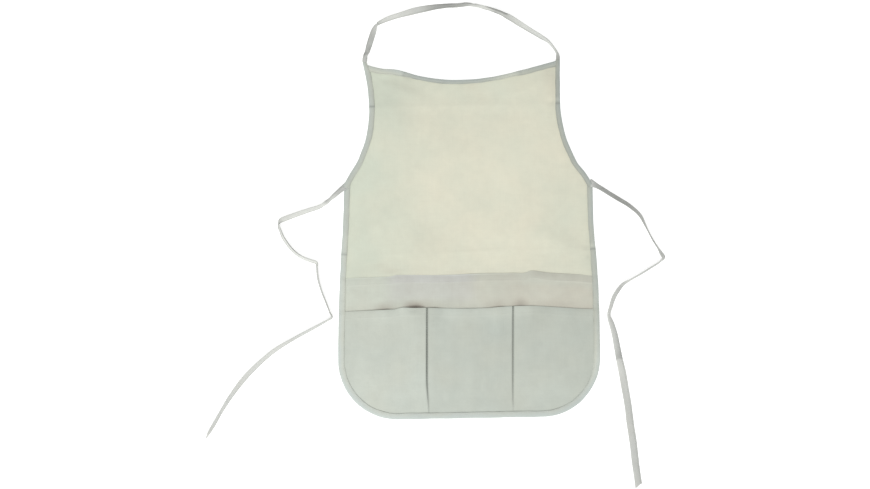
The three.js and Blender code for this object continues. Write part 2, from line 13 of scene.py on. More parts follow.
import bpy
import numpy as np
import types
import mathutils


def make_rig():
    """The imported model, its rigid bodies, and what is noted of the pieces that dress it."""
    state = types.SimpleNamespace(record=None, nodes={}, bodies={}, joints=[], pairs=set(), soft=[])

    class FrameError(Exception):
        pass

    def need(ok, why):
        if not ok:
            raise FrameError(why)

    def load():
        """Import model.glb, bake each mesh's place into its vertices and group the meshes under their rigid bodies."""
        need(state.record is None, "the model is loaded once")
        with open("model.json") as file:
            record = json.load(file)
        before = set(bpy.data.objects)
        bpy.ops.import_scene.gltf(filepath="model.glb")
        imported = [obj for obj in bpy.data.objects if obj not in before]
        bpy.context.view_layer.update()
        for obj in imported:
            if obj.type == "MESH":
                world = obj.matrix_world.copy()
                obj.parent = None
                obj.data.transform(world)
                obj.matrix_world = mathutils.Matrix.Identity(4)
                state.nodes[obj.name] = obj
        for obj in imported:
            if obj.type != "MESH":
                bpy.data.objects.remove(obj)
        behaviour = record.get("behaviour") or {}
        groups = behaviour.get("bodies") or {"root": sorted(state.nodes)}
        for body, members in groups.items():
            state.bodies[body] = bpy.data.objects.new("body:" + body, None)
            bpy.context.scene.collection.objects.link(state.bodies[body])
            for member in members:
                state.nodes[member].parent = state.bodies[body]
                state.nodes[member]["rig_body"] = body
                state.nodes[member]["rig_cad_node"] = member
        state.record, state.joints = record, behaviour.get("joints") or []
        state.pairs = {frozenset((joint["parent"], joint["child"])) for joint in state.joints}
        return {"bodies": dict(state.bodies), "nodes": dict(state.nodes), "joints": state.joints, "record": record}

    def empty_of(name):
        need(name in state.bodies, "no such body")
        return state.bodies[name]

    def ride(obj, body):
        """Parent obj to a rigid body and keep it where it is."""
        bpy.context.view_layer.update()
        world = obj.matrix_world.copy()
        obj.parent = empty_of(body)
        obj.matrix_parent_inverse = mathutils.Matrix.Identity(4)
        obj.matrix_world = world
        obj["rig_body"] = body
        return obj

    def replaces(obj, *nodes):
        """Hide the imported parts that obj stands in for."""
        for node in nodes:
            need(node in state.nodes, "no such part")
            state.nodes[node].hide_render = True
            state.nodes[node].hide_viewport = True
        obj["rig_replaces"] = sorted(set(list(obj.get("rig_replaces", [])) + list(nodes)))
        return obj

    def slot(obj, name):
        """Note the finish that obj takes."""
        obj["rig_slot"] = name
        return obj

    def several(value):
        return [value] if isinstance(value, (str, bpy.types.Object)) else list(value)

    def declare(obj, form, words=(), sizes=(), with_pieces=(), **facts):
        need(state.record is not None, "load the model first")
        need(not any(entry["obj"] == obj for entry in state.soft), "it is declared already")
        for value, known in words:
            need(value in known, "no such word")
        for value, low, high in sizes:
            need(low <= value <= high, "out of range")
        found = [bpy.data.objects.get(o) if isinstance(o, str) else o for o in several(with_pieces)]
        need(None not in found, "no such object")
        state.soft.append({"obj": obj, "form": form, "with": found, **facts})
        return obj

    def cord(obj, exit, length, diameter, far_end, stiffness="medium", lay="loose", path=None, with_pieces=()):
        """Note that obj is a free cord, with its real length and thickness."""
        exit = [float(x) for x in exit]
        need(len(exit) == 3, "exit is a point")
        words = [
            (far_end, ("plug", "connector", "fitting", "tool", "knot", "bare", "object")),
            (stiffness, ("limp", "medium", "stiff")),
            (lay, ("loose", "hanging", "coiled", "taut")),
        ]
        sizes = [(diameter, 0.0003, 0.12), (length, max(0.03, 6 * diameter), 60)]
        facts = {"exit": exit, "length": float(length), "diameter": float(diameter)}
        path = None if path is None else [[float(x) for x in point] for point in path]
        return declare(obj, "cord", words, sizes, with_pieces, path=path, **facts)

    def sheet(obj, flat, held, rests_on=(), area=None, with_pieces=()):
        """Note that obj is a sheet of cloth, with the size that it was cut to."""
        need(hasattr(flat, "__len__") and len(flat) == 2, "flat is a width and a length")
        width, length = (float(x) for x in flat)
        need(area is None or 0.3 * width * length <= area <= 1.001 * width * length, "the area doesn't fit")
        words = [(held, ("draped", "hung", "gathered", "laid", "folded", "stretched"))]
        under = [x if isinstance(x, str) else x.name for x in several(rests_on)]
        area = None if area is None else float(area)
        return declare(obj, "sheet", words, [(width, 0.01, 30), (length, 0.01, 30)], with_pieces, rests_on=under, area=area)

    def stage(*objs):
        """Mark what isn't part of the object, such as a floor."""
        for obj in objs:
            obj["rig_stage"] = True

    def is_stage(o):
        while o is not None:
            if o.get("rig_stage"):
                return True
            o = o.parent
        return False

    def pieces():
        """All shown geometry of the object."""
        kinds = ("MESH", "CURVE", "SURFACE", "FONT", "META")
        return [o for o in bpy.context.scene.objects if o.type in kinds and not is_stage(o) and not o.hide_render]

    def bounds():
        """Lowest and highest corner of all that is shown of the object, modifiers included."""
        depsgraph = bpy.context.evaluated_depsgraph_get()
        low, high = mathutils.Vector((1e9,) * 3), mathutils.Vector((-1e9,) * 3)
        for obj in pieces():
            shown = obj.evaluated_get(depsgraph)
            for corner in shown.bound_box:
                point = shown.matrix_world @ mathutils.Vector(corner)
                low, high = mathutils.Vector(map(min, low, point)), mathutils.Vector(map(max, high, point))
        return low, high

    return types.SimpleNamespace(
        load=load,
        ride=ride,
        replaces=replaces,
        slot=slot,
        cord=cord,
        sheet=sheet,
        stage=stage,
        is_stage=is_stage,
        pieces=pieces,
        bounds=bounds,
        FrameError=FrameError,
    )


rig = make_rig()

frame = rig.load()
CAD_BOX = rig.bounds()

LOG = logging.getLogger("painter_apron")
SIZE_FILE = "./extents.json"
BODY = "root"
WHITE = (1.0, 1.0, 1.0, 1.0)

Array = np.ndarray
Colour = tuple[float, float, float]


class Side(Enum):
    """Side of the apron as it lies, seen from above."""

    LEFT = -1
    RIGHT = 1


class Face(Enum):
    """Face of a tape that a row of stitches shows on."""

    UPPER = 1
    LOWER = -1


class Weave(Enum):
    """How the threads of a cloth lie."""

    STRAIGHT = 0.0
    BIAS = 45.0


class EdgeRow(NamedTuple):
    """Finished edge of the apron on both sides at one height."""

    y: float
    left: float
    right: float


class NeckPoint(NamedTuple):
    """Point of the finished neckline."""

    x: float
    y: float


class PocketTop(NamedTuple):
    """Top edges of the pocket front and of its backing."""

    x: float
    mouth: float
    band: float


class Gape(NamedTuple):
    """Stretch where a pocket mouth stands off: middle, half length and height.

    The last two columns are the painted shade inside the mouth and the painted shadow on the backing above it.
    """

    x: float
    half: float
    high: float
    dark: float
    halo: float


class Divider(NamedTuple):
    """Seam between two pockets: its x at the mouth and at the hem.

    The cloth past it is darker by a step. The painted shade in the seam's groove is given from hem to mouth.
    """

    top: float
    bottom: float
    step: float
    dark: tuple[float, ...]


class Fold(NamedTuple):
    """Soft fold: middle, direction in degrees, half length, half width, height."""

    x: float
    y: float
    turn: float
    long: float
    wide: float
    high: float


class Crease(NamedTuple):
    """Line across the apron where it was folded for packing: its height at both edges."""

    left: float
    right: float


class Patch(NamedTuple):
    """Soft patch of painted light or shade, or of the cloth's own tone: middle, half width, half length, how dark and
    how warm it is.
    """

    x: float
    y: float
    wide: float
    long: float
    dark: float
    warm: float = 0.0


class RoutePoint(NamedTuple):
    """Point of a tape's middle line, with its roll in degrees.

    The last columns are how dark the tape is, as painted shade where it turns from the light and painted light where
    negative; how dark one rim of it is, as painted shade; and its curl in radians.
    """

    x: float
    y: float
    roll: float
    tone: float = 0.0
    rim: float = 0.0
    curl: float = 0.0


class ArmholeTape(NamedTuple):
    """Tape of an armhole: its darkness, painted shade that is heavier on the right, and its width, low down and high
    up, and its width at the end.
    """

    dark: tuple[float, float]
    wide: tuple[float, float]
    end: float


class Ramp(NamedTuple):
    """Smooth change from 0 at one place to 1 at another, which may lie on either side."""

    none: float
    full: float

    def over(self, place: Array) -> Array:
        """Share at each place."""
        return smoothstep(place, self.none, self.full)


class Hump(NamedTuple):
    """Smooth bump of height 1: its middle and half width."""

    middle: float
    wide: float

    def over(self, place: Array) -> Array:
        """Share at each place."""
        return bell(place - self.middle, self.wide)


class Wash(NamedTuple):
    """Amount of a tone, a tint or a width, with the shares that bound it across and along."""

    amount: float
    across: tuple[Ramp | Hump, ...] = ()
    along: tuple[Ramp | Hump, ...] = ()

    def over(self, x: Array, y: Array) -> Array:
        """Amount at each place of a plane."""
        shares = [s.over(x) for s in self.across] + [s.over(y) for s in self.along]
        return self.amount * math.prod(shares)


class Relief(NamedTuple):
    """Smooth random relief: size of one bump, the seed that picks it, its height and its level.

    The last column is how much of the way along counts, less than 1 for bumps drawn out lengthwise.
    """

    cell: float
    seed: int
    high: float
    level: float = 0.0
    along: float = 1.0

    def over(self, x: Array, y: Array | float = 0.0, pick: int = 0) -> Array:
        """Height of the relief.

        Args:
            x: Places across.
            y: Places along.
            pick: Added to the seed, for pieces that share a kind of relief.

        Returns:
            The height at each place.
        """
        return self.level + self.high * soft_noise(x, self.along * y, self.cell, self.seed + pick)


def rows_of(kind: type, rows: Sequence[tuple]) -> tuple:
    """The rows of a table, each as a named row of one kind."""
    return tuple(kind(*row) for row in rows)


# Finished edge of the apron
SIDES = rows_of(EdgeRow, (
    (-0.281, -0.280, 0.280),
    (-0.140, -0.276, 0.2753),
    (-0.024, -0.2696, 0.2660),
    (0.057, -0.267, 0.2635),
    (0.100, -0.266, 0.2615),
))
ARMHOLES = rows_of(EdgeRow, (
    (0.035, -0.280, 0.2765),
    (0.057, -0.267, 0.2635),
    (0.079, -0.2547, 0.2504),
    (0.104, -0.2397, 0.231),
    (0.130, -0.229, 0.2183),
    (0.156, -0.2204, 0.2076),
    (0.181, -0.216, 0.2012),
    (0.213, -0.214, 0.1957),
    (0.246, -0.2155, 0.1945),
    (0.284, -0.2207, 0.1942),
    (0.322, -0.2287, 0.1945),
    (0.350, -0.2340, 0.1948),
))
NECKLINE = rows_of(NeckPoint, (
    (-0.228, 0.315),
    (-0.190, 0.3047),
    (-0.156, 0.302),
    (-0.105, 0.2880),
    (-0.028, 0.2797),
    (0.049, 0.2862),
    (0.117, 0.3020),
    (0.195, 0.323),
))

# Pockets
POCKET_TOPS = rows_of(PocketTop, (
    (-0.280, -0.2158, -0.146),
    (-0.235, -0.2140, -0.143),
    (-0.180, -0.2116, -0.141),
    (-0.168, -0.2110, -0.1402),
    (-0.158, -0.2103, -0.1375),
    (-0.146, -0.2072, -0.1370),
    (-0.122, -0.2074, -0.1367),
    (-0.088, -0.2072, -0.1373),
    (-0.040, -0.2087, -0.1365),
    (0.030, -0.2080, -0.1335),
    (0.095, -0.2036, -0.1325),
    (0.121, -0.2030, -0.1316),
    (0.130, -0.2028, -0.1279),
    (0.139, -0.2029, -0.1276),
    (0.152, -0.2036, -0.1297),
    (0.173, -0.2049, -0.1322),
    (0.190, -0.2060, -0.1335),
    (0.235, -0.2088, -0.1356),
    (0.280, -0.2103, -0.1400),
))
# The last two columns are painted shade inside each gaping mouth and painted shadow on the backing above it
GAPES = rows_of(Gape, (
    (-0.252, 0.016, 0.0004, 0.05, 0.02),
    (-0.182, 0.018, 0.0012, 0.10, 0.30),
    (-0.116, 0.018, 0.0043, 0.20, 0.54),
    (-0.074, 0.013, 0.0010, 0.20, 0.10),
    (0.062, 0.014, 0.0014, 0.07, 0.14),
    (0.110, 0.012, 0.0006, 0.08, 0.42),
    (0.170, 0.020, 0.0002, 0.0, 0.09),
    (0.205, 0.014, 0.0002, 0.0, 0.10),
    (0.255, 0.010, 0.0006, 0.12, 0.05),
))
DIVIDER_HEIGHTS = (-0.435, -0.416, -0.400, -0.384, -0.320, -0.200)
# The last column is the painted shade in each divider's groove, from hem to mouth
DIVIDERS = (
    Divider(-0.0903, -0.0865, 0.062, (0.10, 0.25, 0.50, 0.70, 1.0, 0.95)),
    Divider(0.0936, 0.0940, 0.002, (0.0, 0.10, 0.32, 0.42, 0.62, 0.85)),
)

# Folds, packing creases, and patches of the cloth: painted light and shade, and its own tone
FOLDS = rows_of(Fold, (
    (-0.150, 0.262, -28, 0.070, 0.017, 0.0026),
    (0.112, 0.262, 24, 0.070, 0.018, 0.0022),
    (-0.030, 0.228, 0, 0.150, 0.014, 0.0012),
    (-0.060, 0.110, 62, 0.090, 0.030, 0.0024),
    (0.105, 0.040, -58, 0.100, 0.030, 0.0020),
    (-0.190, -0.030, 40, 0.070, 0.024, 0.0022),
    (0.200, -0.070, -20, 0.055, 0.020, 0.0018),
))
CREASES = (Crease(0.222, 0.2308), Crease(-0.0925, -0.0800))
# Painted light and shade on the body: a shaded corner by the right armhole, light and dark puckers under the neckline,
# highlights and shade at the packing creases on the right, and a fold shadow above the band, with some patches of the
# cloth's own tone
BODY_LIGHT_AND_SHADE_PATCHES = rows_of(Patch, (
    (0.180, 0.277, 0.025, 0.043, 0.12, 0.6),
    (0.172, 0.290, 0.018, 0.012, 0.13),
    (0.072, 0.258, 0.030, 0.024, -0.09),
    (0.004, 0.267, 0.016, 0.012, 0.12, 0.2),
    (-0.068, 0.240, 0.038, 0.012, -0.10),
    (-0.130, 0.284, 0.013, 0.012, 0.17),
    (-0.178, 0.287, 0.022, 0.010, -0.10),
    (0.090, 0.105, 0.050, 0.060, -0.09),
    (0.135, -0.030, 0.030, 0.030, 0.06),
    (0.235, -0.080, 0.030, 0.050, 0.07),
    (0.1745, 0.2375, 0.006, 0.005, -0.18),
    (0.178, 0.228, 0.008, 0.005, 0.16),
    (0.251, -0.081, 0.009, 0.004, 0.22),
    (0.253, -0.100, 0.006, 0.005, 0.22),
    (-0.096, -0.065, 0.050, 0.045, 0.13),
    (-0.190, -0.118, 0.025, 0.012, 0.09, 0.2),
    (-0.165, -0.1300, 0.022, 0.006, 0.18, 0.3),
    (-0.020, -0.1310, 0.018, 0.004, 0.13, 0.5),
))
# Painted light and shade on the pocket front: a highlight where the mouth's lip catches the light and a shadow under
# its fold near x -0.118, with a few patches of the cloth's own tone
POCKET_LIGHT_AND_SHADE_PATCHES = rows_of(Patch, (
    (-0.180, -0.230, 0.035, 0.018, -0.06),
    (-0.144, -0.212, 0.006, 0.014, -0.08),
    (-0.118, -0.2155, 0.011, 0.005, 0.13),
    (0.165, -0.212, 0.020, 0.014, 0.07),
    (0.185, -0.385, 0.050, 0.035, -0.05),
))

# Routes of the strap and the ties, from the place where each is sewn in
# The tone and rim columns are painted shade where a tape turns from the light, and painted light where the tone is
# negative
STRAP_ROUTE = rows_of(RoutePoint, (
    (-0.2229, 0.3172, 20, 0.2, 0, 3.0),
    (-0.2216, 0.3260, 45, 0.2, -0.25, 0.8),
    (-0.2203, 0.3322, 44, 0.1, 0.3, 2.4),
    (-0.2189, 0.3372, 2, 0.55, 0, 3.1),
    (-0.2173, 0.3425, -36, 0.4, -0.3, 0.8),
    (-0.2134, 0.3550, -23, 0.24),
    (-0.2090, 0.3690, -23, 0.34),
    (-0.2044, 0.3830, -25, 0.17),
    (-0.2008, 0.3926, -50, 0.15),
    (-0.1972, 0.3974, -64, 0.06),
    (-0.1953, 0.3990, -110, 0.20),
    (-0.1910, 0.4016, -113, 0.25),
    (-0.1850, 0.4045, -119, 0.12),
    (-0.1722, 0.4101, -129, 0.03),
    (-0.1553, 0.4156, -130, 0.03),
    (-0.1327, 0.4223, -145, 0.04),
    (-0.1050, 0.4298, -174),
    (-0.0750, 0.4348, -206, 0.28, -0.2),
    (-0.0450, 0.4377, -222, 0.30, -0.4),
    (-0.0190, 0.4400, -214, 0.36, -0.5, 3.4),
    (-0.0030, 0.4415, -194, 0.34, -0.5, 4.2),
    (0.0090, 0.4388, -140, -0.1, 0, 5.0),
    (0.0200, 0.4362, -110, 0.05, 0, 2.6),
    (0.0316, 0.4335, -112, 0.1, 0, 1.0),
    (0.0440, 0.4306, -112, 0.16, -0.9, 0.4),
    (0.0560, 0.4268, -116, 0.52, -1.6),
    (0.0720, 0.4203, -119, 0.36, -1.6),
    (0.0776, 0.4173, -126, 0.42, -0.8),
    (0.0835, 0.4146, -140, 0.28),
    (0.1042, 0.4018, -138, 0.05),
    (0.1322, 0.3842, -125, 0.1),
    (0.1545, 0.3708, -122, 0.12),
    (0.1704, 0.3597, -101, 0.1, -0.3, 0.8),
    (0.1812, 0.3472, -98, 0.06, -0.3, 1.2),
    (0.1874, 0.3366, -99, 0.3, -0.2, 1.4),
    (0.1886, 0.3305, -116, 0.5, 0, 3.6),
    (0.1894, 0.3223, -160, 0.65, 0, 4.3),
))
TIE_LEFT_ROUTE = rows_of(RoutePoint, (
    (-0.2600, 0.0562, 8),
    (-0.2682, 0.0495, 24, 0.05, -0.3),
    (-0.2830, 0.0376, 33, 0.16, -0.5, 1.8),
    (-0.2980, 0.0235, -8, -0.05, 0, 4.3),
    (-0.3043, 0.0172, -50, -0.12, 0, 2.2),
    (-0.3110, 0.0126, -62, -0.12, 0, 0.3),
    (-0.3198, 0.0079, -54, 0, 0, 0.2),
    (-0.3430, 0.0005, -48),
    (-0.3700, -0.0089, -44),
    (-0.3929, -0.0174, -39),
    (-0.4024, -0.0218, -49, 0.1),
    (-0.4067, -0.0300, -109, 0.05),
    (-0.4053, -0.0362, -121, 0.24),
    (-0.4027, -0.0424, -117, 0.1, -0.5),
    (-0.3987, -0.0538, -122, -0.06, -0.75),
    (-0.3906, -0.0672, -122, -0.05, -0.8),
    (-0.3766, -0.0846, -120, 0, -0.9),
    (-0.3577, -0.0993, -120, -0.03, -0.45),
    (-0.3381, -0.1071, -122, -0.04, -0.3),
    (-0.3252, -0.1122, -121, 0.14),
    (-0.3246, -0.1210, -107, 0.3),
    (-0.3223, -0.1440, -109, 0.32),
    (-0.3163, -0.1672, -105, 0.28),
    (-0.3061, -0.1943, -102, 0.3),
    (-0.2969, -0.2178, -102, 0.25),
    (-0.2932, -0.2275, -95),
    (-0.2979, -0.2320, -82),
    (-0.3072, -0.2373, -75, 0.25),
    (-0.3398, -0.2550, -66, 0.2),
    (-0.3777, -0.2757, -63, 0.28),
    (-0.4162, -0.2994, -52, 0.12),
    (-0.4494, -0.3274, -48, 0.12),
    (-0.4801, -0.3590, -42, 0.16),
    (-0.5066, -0.3936, -52, 0.2),
    (-0.5286, -0.4288, -66, 0.22),
    (-0.5464, -0.4600, -62, 0.28),
    (-0.5630, -0.4876, -75, 0.3),
))
TIE_RIGHT_ROUTE = rows_of(RoutePoint, (
    (0.2570, 0.0624, -6),
    (0.2650, 0.0575, -18),
    (0.2722, 0.0535, -43, 0.2),
    (0.2813, 0.0484, -48, 0.42),
    (0.2987, 0.0375, -50, 0.4),
    (0.3168, 0.0265, -50, 0.55),
    (0.3452, 0.0087, -54, 0.42),
    (0.3671, -0.0124, -56, 0.17),
    (0.3744, -0.0270, -65, 0.12),
    (0.3824, -0.0437, -73, 0.25),
    (0.3925, -0.0629, -73, 0.4),
    (0.4029, -0.0790, -71, 0.15),
    (0.4104, -0.0915, -55),
    (0.4155, -0.0998, -53, 0.05),
    (0.4095, -0.1075, -74, 0.1),
    (0.3891, -0.1214, -75, 0.35),
    (0.3662, -0.1354, -79, 0.2),
    (0.3447, -0.1479, -76, 0.1),
    (0.3277, -0.1584, -57, 0.3),
    (0.3206, -0.1670, -51, 0.3),
    (0.3099, -0.1842, -47, 0.1),
    (0.3031, -0.2046, -54, -0.12),
    (0.2990, -0.2233, -59, -0.12, 0, 1.3),
    (0.3000, -0.2285, -53, -0.12, 0, 1.3),
    (0.3012, -0.2316, -43, -0.12, 0, 1.3),
    (0.3042, -0.2395, -36, -0.12, 0, 1.2),
    (0.3110, -0.2623, -28, 0, 0, 1.1),
    (0.3164, -0.2890, -21, 0.1, 0, 0.9),
    (0.3183, -0.2990, -19, 0.22, 0, 0.8),
    (0.3202, -0.3095, -16, 0.38, 0, 0.7),
    (0.3212, -0.3150, -15, 0.36, 0, 0.6),
    (0.3220, -0.3190, -14, -0.08, 0, 0.5),
    (0.3282, -0.3470, 0, 0, 0, -0.3),
    (0.3336, -0.3790, 0, 0.1, 0, -0.4),
    (0.3404, -0.4180, 0, 0.17, 0, -0.3),
    (0.3450, -0.4560, 0, 0.18),
    (0.3510, -0.4950, 0, 0.18),
    (0.3560, -0.5380, 0, 0.25),
    (0.3630, -0.5880, 0, 0.25),
))



# Edge tape
# Their dark column is painted shade, heavier on the right armhole, which is turned from the light
ARMHOLE_TAPES = {
    Side.LEFT: ArmholeTape((0.16, 0.13), (0.0120, 0.0120), 0.0084),
    Side.RIGHT: ArmholeTape((0.38, 0.46), (0.0108, 0.0096), 0.0095),
}
# Lips of the tape: how far back from its inner edge, and how many walls up or down
LOWER_LIP = ((0.0006, 0.0), (0.0, 0.5), (0.0006, 1.0))
UPPER_LIP = ((0.0006, 1.35), (0.0, 0.7), (0.0005, 0.1))
# Rounded top of the tape: share of the way to the seam, and share of the puff
PUFFED = ((0.88, 0.4), (0.68, 1.0), (0.42, 1.0))

# Shares that several tables use
HEM_DEEP = 0.017
HEM = Ramp(HEM_DEEP + 0.0004, HEM_DEEP - 0.0006)
UNDER_HEM = Ramp(HEM.full, HEM.none)
# Strip just below the backing's top edge, where a highlight is painted
BAND_TOP_HIGHLIGHT = Ramp(0.0035, 0.0006)
MAUVE_PART = (Ramp(-0.19, -0.15), Ramp(0.03, -0.01))
LEFT_EDGE = (Ramp(0.27, 0.15),)
RIGHT_EDGE = (Ramp(0.15, 0.27),)
NECK_HEIGHT = (Ramp(0.25, 0.27),)

# Random reliefs of the surface and clouds in its tone
PUCKERS = (Relief(0.011, 12, 1.0), Relief(0.021, 13, 0.5))
BODY_CLOUDS = (Relief(0.070, 17, 0.035), Relief(0.034, 18, 0.021))
BAND_CLOUDS = (Relief(0.034, 23, 0.05), Relief(0.014, 24, 0.03))
BAND_RIPPLES = (Relief(0.042, 21, 0.0004, 0.0004), Relief(0.014, 22, 0.0002))
POCKET_CLOUDS = (Relief(0.045, 33, 0.022), Relief(0.016, 35, 0.006), Relief(0.014, 36, 0.014, along=0.12))
POCKET_RIPPLES = (Relief(0.030, 31, 0.0005, along=0.35), Relief(0.016, 32, 0.00025))

# Tones and tints of the cloth, over x and y, or over x and the distance to a pocket edge
# An even tone, painted shade low on the left where the light falls off, and a little darker on the lower half
BODY_TONE_AND_SHADE = (
    Wash(0.035),
    Wash(0.09, (Ramp(-0.275, -0.22), Ramp(-0.12, -0.24)), (Ramp(0.10, -0.08),)),
    Wash(0.015, (), (Ramp(0.05, -0.05),)),
)
ABOVE_BAND_TONES = (
    Wash(0.07, (), (Ramp(0.060, 0.004),)),
    Wash(0.04, (Hump(-0.126, 0.040),), (Ramp(0.030, 0.004),)),
)
SEAM_SHADOWS = (
    (Hump(0.0150, 0.0016), Wash(0.08, (Ramp(0.15, 0.17),), (Ramp(0.22, 0.24),))),
    (Hump(0.0130, 0.0050), Wash(0.05, (), (Ramp(0.06, 0.03),))),
)
# The cool left goes with the painted shade on that side; warmer from the middle to the right, cooler low on the right
# and at the top
BODY_TINTS = (
    Wash(-0.40),
    Wash(0.70, (Ramp(-0.23, -0.06),)),
    Wash(-0.30, (Ramp(0.10, 0.24),), (Ramp(0.10, -0.02),)),
    Wash(-0.30, (), (Ramp(0.17, 0.27),)),
)
BAND_TONES = (
    Wash(0.09),
    Wash(0.09, (Ramp(-0.19, -0.15), Ramp(0.13, 0.06)), (HEM,)),
    Wash(-0.01, MAUVE_PART, (HEM,)),
    Wash(0.06, (Ramp(0.14, 0.20),), (HEM,)),
    Wash(0.03, (Hump(0.13, 0.02),), (HEM,)),
    Wash(0.05, (Ramp(0.155, 0.175),), (HEM,)),
    Wash(0.05, MAUVE_PART, (UNDER_HEM,)),
    Wash(0.14, (Hump(0.149, 0.018),), (Ramp(0.018, 0.010),)),
    # Painted highlights: a light line along the hem's lower fold on the right, and along the backing's top edge
    Wash(-0.10, (Ramp(0.17, 0.20),), (Hump(HEM_DEEP, 0.0016),)),
    Wash(-0.12, (Ramp(0.14, 0.05),), (BAND_TOP_HIGHLIGHT,)),
    Wash(-0.18, (Ramp(-0.06, -0.02), Ramp(0.14, 0.05)), (BAND_TOP_HIGHLIGHT,)),
    Wash(-0.06, (Ramp(-0.215, -0.25),)),
)
BAND_TINTS = (
    Wash(-0.45),
    Wash(0.85, (Ramp(-0.20, 0.20),)),
    Wash(-0.45, MAUVE_PART, (HEM,)),
    Wash(-0.4, (Ramp(0.08, 0.14),), (Ramp(0.034, 0.020),)),
)
BAND_MAUVES = (Wash(0.3, MAUVE_PART), Wash(0.2, MAUVE_PART, (HEM,)))
# An even tone, lighter just under the mouth of the middle pocket, with painted shade along the mouth's folded edge
POCKET_TONES = (
    Wash(0.082),
    Wash(-0.08, (Ramp(-0.07, -0.04), Ramp(0.140, 0.125)), (Ramp(0.046, 0.010),)),
    Wash(0.05, (), (Ramp(0.0016, 0.0003),)),
)

# Tones, tints and widths of the edge tape
EDGE_TINTS = (
    Wash(-0.1),
    Wash(-0.2, (Ramp(-0.25, -0.10),)),
    Wash(0.4, (Ramp(0.03, 0.12),)),
    Wash(0.05, (Ramp(-0.14, -0.19),), (Ramp(0.06, 0.14),)),
    Wash(0.35, (Hump(-0.175, 0.035),), NECK_HEIGHT),
    Wash(0.35, (Hump(0.060, 0.050),), NECK_HEIGHT),
)
EDGE_RIM_TINTS = (Wash(-0.20), Wash(-0.25, (Ramp(0.12, 0.19),), (Ramp(-0.04, 0.0),)))
# Weakens the painted shadow along the tape's inner lip at the far left and along the hem
EDGE_LIP_SHADE_TONES = (Wash(-0.10, (Ramp(-0.20, -0.25),)), Wash(-0.10, (), (Ramp(-0.36, -0.40),)))
# Painted shade in each packing crease across a tape, and a painted highlight just above it on the right
CREASE_SHADE_AND_HIGHLIGHT = (
    Wash(0.5, (), (Hump(0.0, 0.0016),)),
    Wash(-0.23, (Ramp(-0.001, 0.001),), (Hump(0.0060, 0.0045),)),
)
# Painted shade on the skirt tape, darker up the right side, which is turned from the light; the other washes darken or
# lighten shorter stretches
SKIRT_TONE_AND_SHADE = (
    Wash(0.22, RIGHT_EDGE, (Ramp(-0.34, -0.21),)),
    Wash(0.07, RIGHT_EDGE, (Ramp(-0.14, -0.06),)),
    Wash(0.05, RIGHT_EDGE, (Hump(-0.115, 0.030),)),
    Wash(-0.05, RIGHT_EDGE, (Hump(0.026, 0.020),)),
    Wash(-0.06, RIGHT_EDGE, (Hump(-0.320, 0.024),)),
    Wash(0.11, (Ramp(-0.17, -0.10),), (Ramp(-0.34, -0.42),)),
    Wash(0.05, LEFT_EDGE, (Ramp(-0.16, -0.12),)),
    Wash(-0.04, LEFT_EDGE, (Hump(-0.066, 0.012),)),
    Wash(0.08, LEFT_EDGE, (Ramp(-0.06, -0.045),)),
    Wash(-0.06, LEFT_EDGE, (Hump(-0.165, 0.014),)),
)
SKIRT_WIDTHS = (
    Wash(0.0125),
    Wash(-0.0010, RIGHT_EDGE, (Ramp(-0.12, -0.07),)),
    Wash(0.0010, (), (Ramp(-0.12, -0.24),)),
)
# Painted shade on the neckline tape, which is turned from the light: dark from x -0.13 on, lighter around x 0.08, with
# a painted fold shadow at x -0.138 and a dark notch at x 0.108
NECK_TONE_AND_SHADE = (
    Wash(-0.04),
    Wash(0.36, (Ramp(-0.145, -0.125),)),
    Wash(-0.36, (Hump(0.083, 0.036),)),
    Wash(0.25, (Hump(-0.138, 0.004),)),
    Wash(0.2, (Hump(0.108, 0.005),)),
)
NECK_WIDTHS = (
    Wash(0.0125),
    Wash(-0.0035, (Ramp(-0.150, -0.120),)),
    Wash(0.0022, (Ramp(0.092, 0.118),)),
)


def smoothstep(value: Array | float, low: float, high: float) -> Array:
    """Eases from 0 at low to 1 at high.

    Args:
        value: Places to ease at.
        low: Place where the result leaves 0.
        high: Place where the result reaches 1.

    Returns:
        The eased share at each place.
    """
    t = np.clip((np.asarray(value, float) - low) / (high - low), 0.0, 1.0)
    return t * t * (3.0 - 2.0 * t)


def lerp(start: Array | float, end: Array | float, share: Array | float) -> Array:
    """Goes from start to end by a share of the way."""
    return start + (end - start) * share


def bell(offset: Array, width: Array | float) -> Array:
    """A smooth bump of height 1 at offset 0, which dies out over a few widths."""
    return np.exp(-((offset / width) ** 2))


def patchy(patches: Sequence[Patch], column: str, x: Array, y: Array) -> Array:
    """One column of a table of soft patches, summed over a plane."""
    return sum(getattr(p, column) * bell(x - p.x, p.wide) * bell(y - p.y, p.long) for p in patches)


def summed(terms: Sequence[Wash | Relief], x: Array, y: Array) -> Array:
    """Some washes or reliefs, added up over a plane."""
    return sum(term.over(x, y) for term in terms)


def upward(count: int) -> Array:
    """The direction straight up, once for each of some points."""
    return np.tile([0.0, 0.0, 1.0], (count, 1))


def soft_noise(x: Array, y: Array, cell: float, seed: int) -> Array:
    """Smooth random relief over a plane.

    Args:
        x: Places across.
        y: Places along.
        cell: Size of one bump.
        seed: Picks the relief.

    Returns:
        Values from -1 to 1.
    """
    cells = 64
    lattice = np.random.default_rng(seed).uniform(-1.0, 1.0, (cells, cells))
    u, v = np.broadcast_arrays(np.asarray(x) / cell, np.asarray(y) / cell)
    i, j = np.floor(u).astype(int), np.floor(v).astype(int)
    f, g = smoothstep(u - i, 0.0, 1.0), smoothstep(v - j, 0.0, 1.0)
    near = lerp(lattice[i % cells, j % cells], lattice[(i + 1) % cells, j % cells], f)
    far = lerp(lattice[i % cells, (j + 1) % cells], lattice[(i + 1) % cells, (j + 1) % cells], f)
    return lerp(near, far, g)


